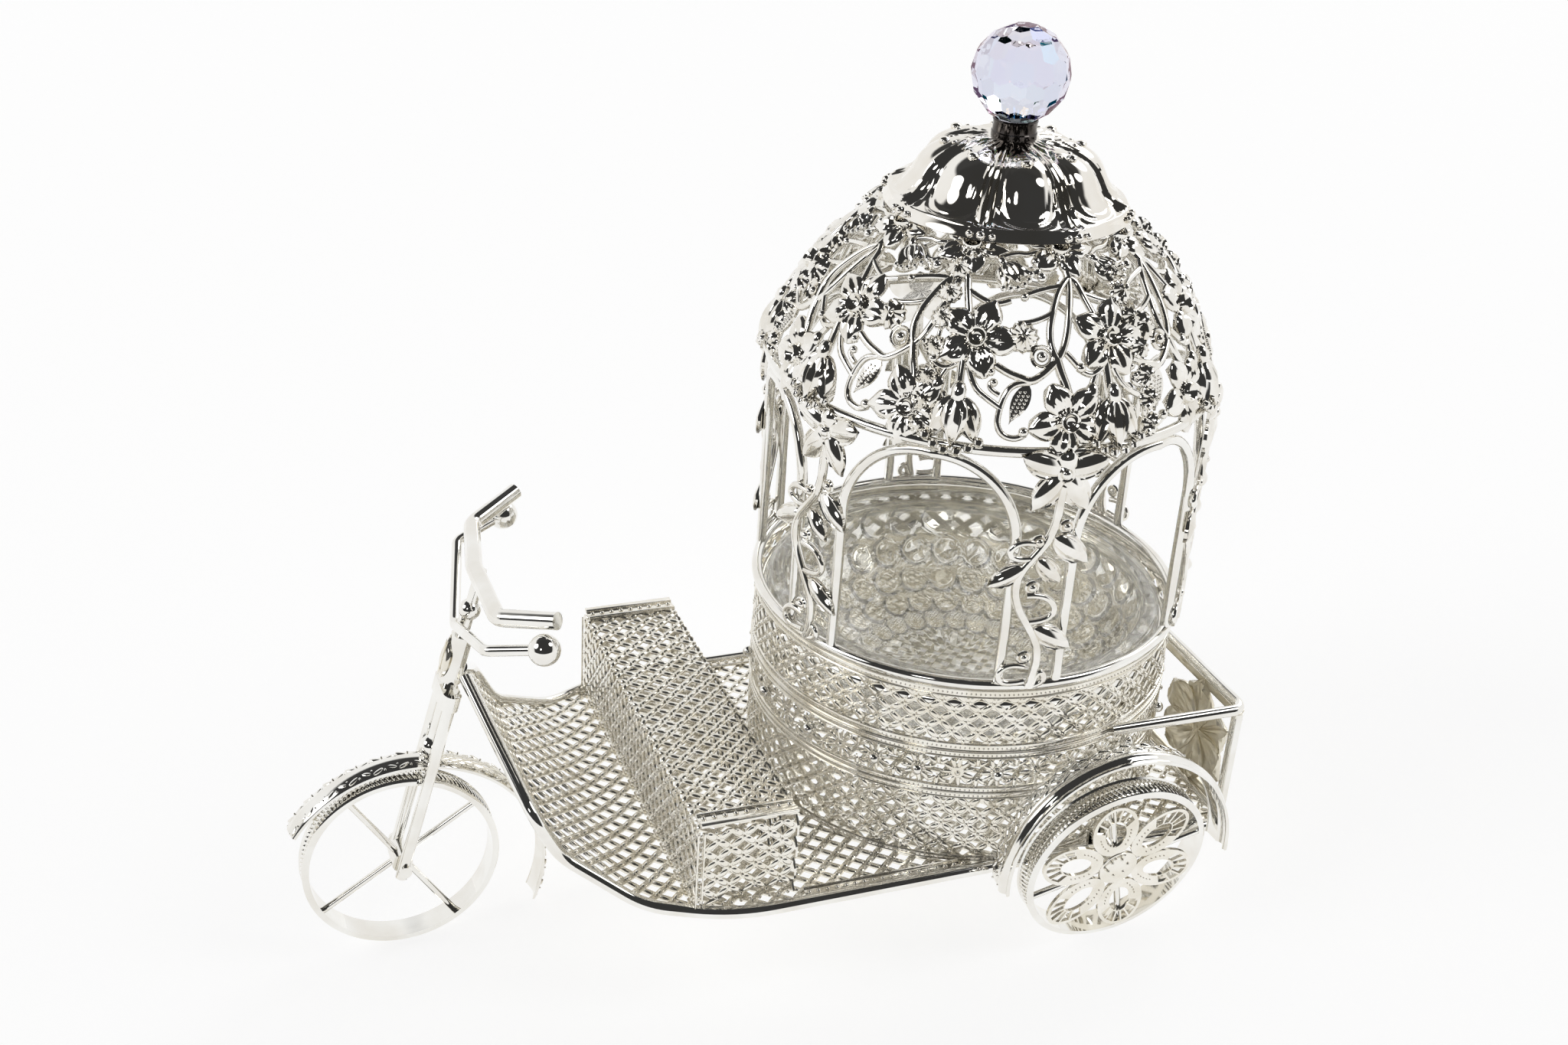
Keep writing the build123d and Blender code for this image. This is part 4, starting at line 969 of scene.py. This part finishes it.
def bell_bud():
    """A hanging bud: a calyx, three spread lobes and a fringe of small balls."""
    bm = bmesh.new()
    lobe = small_mesh(ribbed_petal(13.0, 7.0, 3, 0.45, 1.5, 1.1, pointed, 8, 10))
    for turn in (-27, 27, 0):
        place = Matrix.Rotation(radians(-90 + turn), 4, "Z") @ Matrix.Translation((0, 0, 0.4 if turn else 1.5))
        stamp(bm, lobe, place)
    fringe = ball(1.25, 6, 5)
    for x, y in ((-6.4, -10.4), (-4.2, -12.2), (-1.6, -13.2), (1.6, -13.2), (4.2, -12.2), (6.4, -10.4)):
        stamp(bm, fringe, Matrix.Translation((x, y, 1.0)))
    stamp(bm, ball(1.0, squash=(3.0, 2.0, 1.9)), Matrix.Translation((0, 0.4, 0.8)) @ Matrix.Rotation(pi / 2, 4, "Z"))
    return small_mesh(bm)


def grained_blade(length, width):
    """The closed half of a leaf, with a grain of small balls."""
    bm = ribbed_petal(length, width, 0, 0, 0.5, 1.2, pointed, 10, 8)
    grain = ball(0.62, 6, 4)
    for k in range(8):
        for row in (-1, 0, 1):
            if row == 0 or 0 < k < 7:
                bead = (length * (0.16 + 0.092 * k + 0.046 * (row == 0)), row * width * 0.24, 0.5)
                stamp(bm, grain, Matrix.Translation(bead))
    return small_mesh(bm)


flower_mid, flower_low, flower_top = cast_flower(16.4), cast_flower(16.6), cast_flower(14.6)
button, bud, blade = daisy_button(4.8), bell_bud(), grained_blade(17.5, 7.0)
ring_hoop = small_mesh(spun([(2.9, -0.8), (4.3, -0.8), (4.8, 0.3), (4.1, 1.4), (3.2, 0.8)], 20))
dome_ball = ball(1.0, 10, 8)
small_bud = ball(1.0, 10, 8, squash=(4.0, 3.1, 2.6))

# The stems of one spray: (degrees round from its middle flower, height) points and half thickness
spray_stems = [
    ([(31, 256.2), (26.5, 253.6), (22.5, 246), (20.8, 239.9), (21.3, 234), (22.8, 230.8)], 1.3),
    ([(31, 256.2), (30.2, 252.4), (28, 245.7), (26.5, 239.7), (24.5, 233.5), (22.8, 230.8)], 1.25),
    ([(22.6, 231.5), (23.4, 227), (25.2, 221), (26, 215.5)], 1.6),
    ([(22.8, 231), (21, 228.7), (18.2, 225.5), (15.4, 223.5), (13, 224.8), (9.3, 226.2), (6, 228.7)], 1.35),
    (
        [
            (15.4, 223.5), (12.6, 223.2), (10, 221.3), (8.6, 217.2), (7.8, 211.6), (7.7, 206.5), (9.6, 203),
            (13.1, 202.3), (14.6, 204.4),
        ],
        1.15,
    ),
    ([(31, 256.2), (33.5, 255.1), (34.3, 251), (36.4, 244.5)], 1.3),
    ([(-5.8, 251.5), (-0.4, 249), (4.9, 247.7), (9.0, 249.5)], 1.1),
    ([(-3.4, 228.6), (-6.7, 224.8), (-10.3, 226.4), (-12.3, 230), (-14.6, 233.2)], 1.15),
    ([(-6.7, 225.2), (-7.8, 222.5), (-8.4, 219.5)], 1.1),
    ([(-3, 229), (-2.8, 221), (-2.5, 212.5)], 1.5),
    ([(-1, 227), (0.7, 220.4), (5.2, 216.3), (8.4, 213.5)], 1.15),
    ([(10.6, 225.4), (8.2, 228.0), (5.2, 228.8), (3.6, 226.6), (4.8, 225.2)], 0.95),
    ([(7.6, 218.4), (5.6, 219.6), (4.6, 222.0), (5.8, 223.4)], 0.95),
    ([(11.5, 242.6), (17.5, 243.0), (22.5, 246)], 1.1),
    ([(26.8, 253.8), (20.4, 253.3), (14.4, 251.4)], 1.15),
    ([(31, 262), (31, 255.6)], 1.5),
    ([(10.6, 260.5), (14.5, 257.6), (18.5, 257.4), (20.8, 259.2), (19.4, 261)], 1.05),
    ([(23.2, 264.6), (17, 262.4), (10.5, 263.2), (4.6, 261.5)], 1.15),
    ([(38.0, 264.4), (42.0, 262.2), (45.4, 259.8)], 1.15),
    ([(33.5, 217.0), (35.0, 214.2), (34.2, 211.2)], 1.1),
]
spray_balls = [
    (-10.8, 227.9, 2.1), (14.2, 205.2, 2.1), (20.3, 256.3, 2.2), (4.9, 226.2, 1.7), (5.9, 222.6, 1.7),
    (18.9, 260.6, 2.0), (18.4, 232.1, 2.2), (33.8, 213.2, 1.9), (13.6, 250.6, 1.8),
]
# Solder fills the corners of the stems and makes them a fifth thicker.
soldered = 1.2
low_bud_scale, spray_button_scale = 1.65, 1.3
string_heights = (203, 215, 228, 241, 257)
dome = bmesh.new()
for i in range(spray_count):
    base = first_spray + 360 / spray_count * i
    stamp(dome, flower_mid, dome_place(base, 237.0, 72))
    stamp(dome, flower_low, dome_place(base + 25.4, 209.2, 45, 0.4))
    stamp(dome, flower_top, dome_place(base + 31.0, 264.0, 72))
    stamp(dome, bud, dome_place(base - 2.4, 217.0, 0, 0.8) @ Matrix.Scale(low_bud_scale, 4))
    stamp(dome, bud, dome_lay(base, (5.4, 259.8), (16, 247.7), 0.4) @ Matrix.Rotation(pi / 2, 4, "Z"))
    stamp(dome, ring_hoop, dome_place(base + 18.4, 232.1))
    stamp(dome, blade, dome_lay(base, (15.0, 222.8), (10.4, 207.8), 0.4))
    wider = Matrix.Diagonal((spray_button_scale, spray_button_scale, 1, 1))
    stamp(dome, button, dome_place(base + 13.1, 238.3, 0, 0.3) @ wider)
    stamp(dome, small_bud, dome_lay(base, (-8.2, 219.2), (-9.2, 214.0), 0.6))
    for angle, height, radius in spray_balls:
        stamp(dome, dome_ball, dome_place(base + angle, height, 0, 0.5) @ Matrix.Scale(radius, 4))
    for line, thick in spray_stems:
        wire(dome, [dome_point(base + angle, height) for angle, height in line], soldered * thick)
for i in range(button_strings):
    string = first_string + 360 / button_strings * i
    for height in button_heights:
        stamp(dome, button, dome_place(string, height, 7 * height, 0.8))
    wire(dome, [dome_point(string, height, -0.4) for height in string_heights], 1.0)
make_piece(dome, "flower_dome", deck, silver_casting, "cage", ["dome_shell"])

# Cap
# Pressed from sheet in eight smooth lobes, each outlined by a raised scroll, with flutes that flare between
# them to a sloping rim with beads. It covers the top of the dome and carries the knob.
cap_lobes = 8
lobe_turn = radians(-105.0)
cap_line = [
    (2.0, 295.2), (9.5, 295.2), (14, 294.8), (19, 294.2), (24, 293.0), (29, 291.2), (33.2, 288.6), (36.2, 285.4),
    (38.2, 282.0), (40.0, 278.6), (42.4, 275.6), (45.2, 273.5), (47.8, 272.3), (49.4, 271.9),
]
cap_band = [
    (49.9, 271.4), (50.1, 270.8), (50.6, 269.6), (51.1, 268.4), (51.5, 267.6), (51.7, 267.1), (51.4, 266.8),
    (49.4, 266.8),
]
rim_bead_r, rim_bead_h = 51.6, 269.0


def through(points, steps):
    """A smooth line through points."""
    ends = [Vector(p) for p in [points[0]] + points + [points[-1]]]
    line = []
    for a, b, c, d in zip(ends, ends[1:], ends[2:], ends[3:]):
        for i in range(steps):
            t = i / steps
            line.append(b + ((c - a) * t + (2 * a - 5 * b + 4 * c - d) * t**2 + (3 * b - a - 3 * c + d) * t**3) / 2)
    return [tuple(p) for p in line] + [points[-1]]


def cap_press(flat, angle):
    """How far the pressed sheet stands out from a plain turned cap, and how much of that goes sideways."""
    s = min(1.0, max(0.0, (flat - 9.5) / 41.0))
    a = abs(((angle - lobe_turn) * cap_lobes / (2 * pi) + 0.5) % 1 - 0.5) * 2
    rise = sqrt((a / 0.68) ** 2 + abs((s - 0.56) / 0.34) ** 2.5)
    lobe = 2.8 * max(0.0, 1 - rise * rise) ** 0.6
    outline = 1.0 * exp(-(((rise - 1.0) / 0.08) ** 2)) + 0.6 * exp(-(((rise - 1.27) / 0.08) ** 2))
    flute = 1.0 * cos(10 * pi * (1 - a)) * min(1.0, max(0.0, (a - 0.68) / 0.12)) * min(1.0, 0.3 + s)
    crown = 0.5 * cos(4 * pi * a) * max(0.0, 1 - s / 0.3)
    press = (lobe + outline + flute + crown) * min(1.0, s / 0.12) - 1.2 * sin(pi * s)
    fade = min(1.0, (1.0 - s) / 0.08)
    corner = 0.9 * (a * a - 0.4) * max(0.0, (s - 0.8) / 0.2)
    return press * fade, 0.1 + 0.85 * sin(pi * min(1.0, max(0.0, (s - 0.05) / 0.95))), corner


def cap_point(point):
    """A point of the plain cap, pressed."""
    flat, angle = max(0.01, hypot(point.x, point.y)), atan2(point.y, point.x)
    press, sideways, corner = cap_press(flat, angle)
    reach = (flat + press * sideways + corner) / flat
    return Vector((point.x * reach, point.y * reach, point.z + press * sqrt(1 - sideways**2)))


# Rolled sheet keeps its mirror through the press, so the plate on it is the smoothest of all.
silver_cap = silver_plate("silver plated pressed cap", "#F3F0EA", "#EAE5DB", (0.02, 0.05), 20, 12)
top_line = through(cap_line, 4)
under_line = [(max(2.0, r - 0.9), h - 1.1) for r, h in reversed(top_line)]
cap = spun(top_line + cap_band + under_line, 256)
for v in cap.verts:
    v.co = cap_point(v.co)
cap_bead = ball(1.0, 10, 8)
for k in range(cap_lobes):
    middle = lobe_turn + 2 * pi * k / cap_lobes
    for turn, r, h, radius in ((0, 27.0, 292.0, 2.6), (-0.14, 24.5, 292.6, 1.4), (0.14, 24.5, 292.6, 1.4)):
        place = cap_point(Vector((r * cos(middle + turn), r * sin(middle + turn), h)))
        stamp(cap, cap_bead, Matrix.Translation(place) @ Matrix.Diagonal((radius, radius, radius * 0.6, 1)))
    for turn, radius in ((-0.09, 1.5), (0, 1.9), (0.09, 1.5)):
        angle = middle + pi / cap_lobes + turn
        place = (rim_bead_r * cos(angle), rim_bead_r * sin(angle), rim_bead_h)
        stamp(cap, cap_bead, Matrix.Translation(place) @ Matrix.Scale(radius, 4))
make_piece(cap, "lobed_cap", deck, silver_cap, "cage", ["cap"])

# Knob
# A turned collar in dark nickel and a cut crystal ball above it, ground in rows of flats. A stud through the
# collar and a nut inside the cap hold them.
collar_line = [
    (2.0, 295.2), (9.5, 295.2), (9.5, 297.4), (9.1, 297.9), (9.1, 301.6), (9.4, 302.2), (9.2, 303.0), (2.0, 303.0),
]
# Black nickel plate is as smooth as the silver, and only its colour is dark.
dark_nickel = silver_plate("black nickel plate", "#524E4C", "#3A3634", (0.06, 0.12), 8, 6, 0.02)
make_piece(spun(collar_line, 64), "knob_collar", deck, dark_nickel, "cage", ["collar"], 30)

knob_h, knob_r, knob_seat = 321.0, 20.0, 303.0
facet_depth = 0.55
facet_rows = [(90, 1), (64, 7), (39, 14), (13, 14), (-13, 14), (-38, 14), (-58, 7)]
# Lead crystal is heavy clear glass: its facets turn the view about, and some throw dark or coloured flashes.
crystal, tree, shader = new_material(
    "cut lead crystal",
    {
        "Base Color": linear("#E2E3EE"), "Transmission Weight": 1.0, "IOR": 1.56, "Roughness": 0.0,
        "Thin Film Thickness": 420.0, "Thin Film IOR": 1.33,
    },
)
# Polishing marks of about 4 mm, only just there.
uneven(tree, shader, 4, 0.02)

knob = bmesh.new()
bmesh.ops.create_cube(knob, size=3 * knob_r)


def cut_facet(point, outward):
    """Grinds one flat on the knob."""
    cut = bmesh.ops.bisect_plane(
        knob, geom=knob.verts[:] + knob.edges[:] + knob.faces[:], plane_co=point, plane_no=outward, clear_outer=True
    )
    bmesh.ops.contextual_create(knob, geom=[g for g in cut["geom_cut"] if isinstance(g, bmesh.types.BMEdge)])


for row, (elevation, count) in enumerate(facet_rows):
    for i in range(count):
        e, a = radians(elevation), 2 * pi * (i + 0.5 * (row % 2)) / count
        outward = Vector((cos(e) * cos(a), cos(e) * sin(a), sin(e)))
        cut_facet(outward * (knob_r - facet_depth), outward)
cut_facet(Vector((0, 0, knob_seat - knob_h)), Vector((0, 0, -1)))
bmesh.ops.recalc_face_normals(knob, faces=knob.faces[:])
knob_place = deck @ Matrix.Translation((0, 0, knob_h))
make_piece(knob, "cut_crystal", knob_place, crystal, "cage", ["crystal_knob"], 1)

# Zinc plated steel is grey and a little rough.
steel = silver_plate("zinc plated steel", "#C9CBCD", "#B4B7BA", (0.25, 0.4), 4, 2, 0.02)
dress(steel, "knob_stud", "knob_nut")

# Floor, light and camera
# A white table lit from below, pale walls round it and four soft lamps. The room is dark above and on the
# camera's side, which shows black in the polished metal.
floor_half = 40.0
floor_mesh = bpy.data.meshes.new("floor")
floor = bmesh.new()
bmesh.ops.create_grid(floor, x_segments=8, y_segments=8, size=floor_half)
floor.to_mesh(floor_mesh)
floor.free()
floor_object = bpy.data.objects.new("floor", floor_mesh)
bpy.context.scene.collection.objects.link(floor_object)
# Matt paper lit through from below is an even white, and its shadows are pale.
paper, tree, shader = new_material(
    "white table paper",
    {
        "Base Color": linear("#969696"), "Emission Color": linear("#FFFFFF"), "Emission Strength": 0.8,
        "Roughness": 0.9, "Specular IOR Level": 0.1,
    },
)
floor_mesh.materials.append(paper)

wall, roof, dark_side = 0.95, 0.05, 0.04
lamps = [
    ((-0.80, 0.05, 0.60), 12, 16, 3.5), ((0.62, -0.30, 0.72), 9, 13, 3.5), ((0.70, 0.45, 0.55), 12, 16, 2.5),
    ((-0.55, -0.62, 0.56), 4, 6, 5.0),
]
world = bpy.data.worlds.new("light tent")
world.use_nodes = True
tree = world.node_tree
background = tree.nodes["Background"]
coords = add_node(tree, "ShaderNodeTexCoord")


def patch(under, over, direction, inner, outer):
    """Lays a soft round patch over what the tent has there: full within one angle, in degrees, gone past the other."""
    along = add_node(
        tree,
        "ShaderNodeVectorMath",
        {"operation": "DOT_PRODUCT"},
        {0: coords.outputs["Generated"], 1: Vector(direction).normalized()},
    )
    share = add_node(
        tree,
        "ShaderNodeMapRange",
        {"interpolation_type": "SMOOTHSTEP"},
        {"Value": along.outputs["Value"], "From Min": cos(radians(outer)), "From Max": cos(radians(inner))},
    )
    laid = add_node(tree, "ShaderNodeMix", {"data_type": "FLOAT"}, {0: share.outputs["Result"], 2: under, 3: over})
    return laid.outputs[0]


tent = patch(wall, roof, (0, 0, 1), 42, 52)
opened = patch(tent, dark_side, (-0.28, -0.72, 0.63), 60, 72)
# The dark side stops just above the table, so that the table ends against a pale wall all round.
level = patch(tent, opened, (0, 0, 1), 86, 88.5)
for direction, inner, outer, power in lamps:
    level = patch(level, power, direction, inner, outer)
tree.links.new(level, background.inputs["Strength"])
background.inputs["Color"].default_value = linear("#FFFFFF")
bpy.context.scene.world = world
bpy.context.scene.view_settings.view_transform = "Standard"

camera_place = Vector((-0.24102, -0.6963, 0.5872))
camera = bpy.data.cameras.new("camera")
camera.sensor_width = 36.0
camera.lens = 45.13
camera.clip_start = 0.01
camera_object = bpy.data.objects.new("camera", camera)
forward = Vector((0.3038, 0.8197, -0.4857)).normalized()
right = Vector((0.9377, -0.3475, 0)).normalized()
camera_object.matrix_world = facing(right, right.cross(forward), -forward, camera_place)
bpy.context.scene.collection.objects.link(camera_object)
bpy.context.scene.camera = camera_object
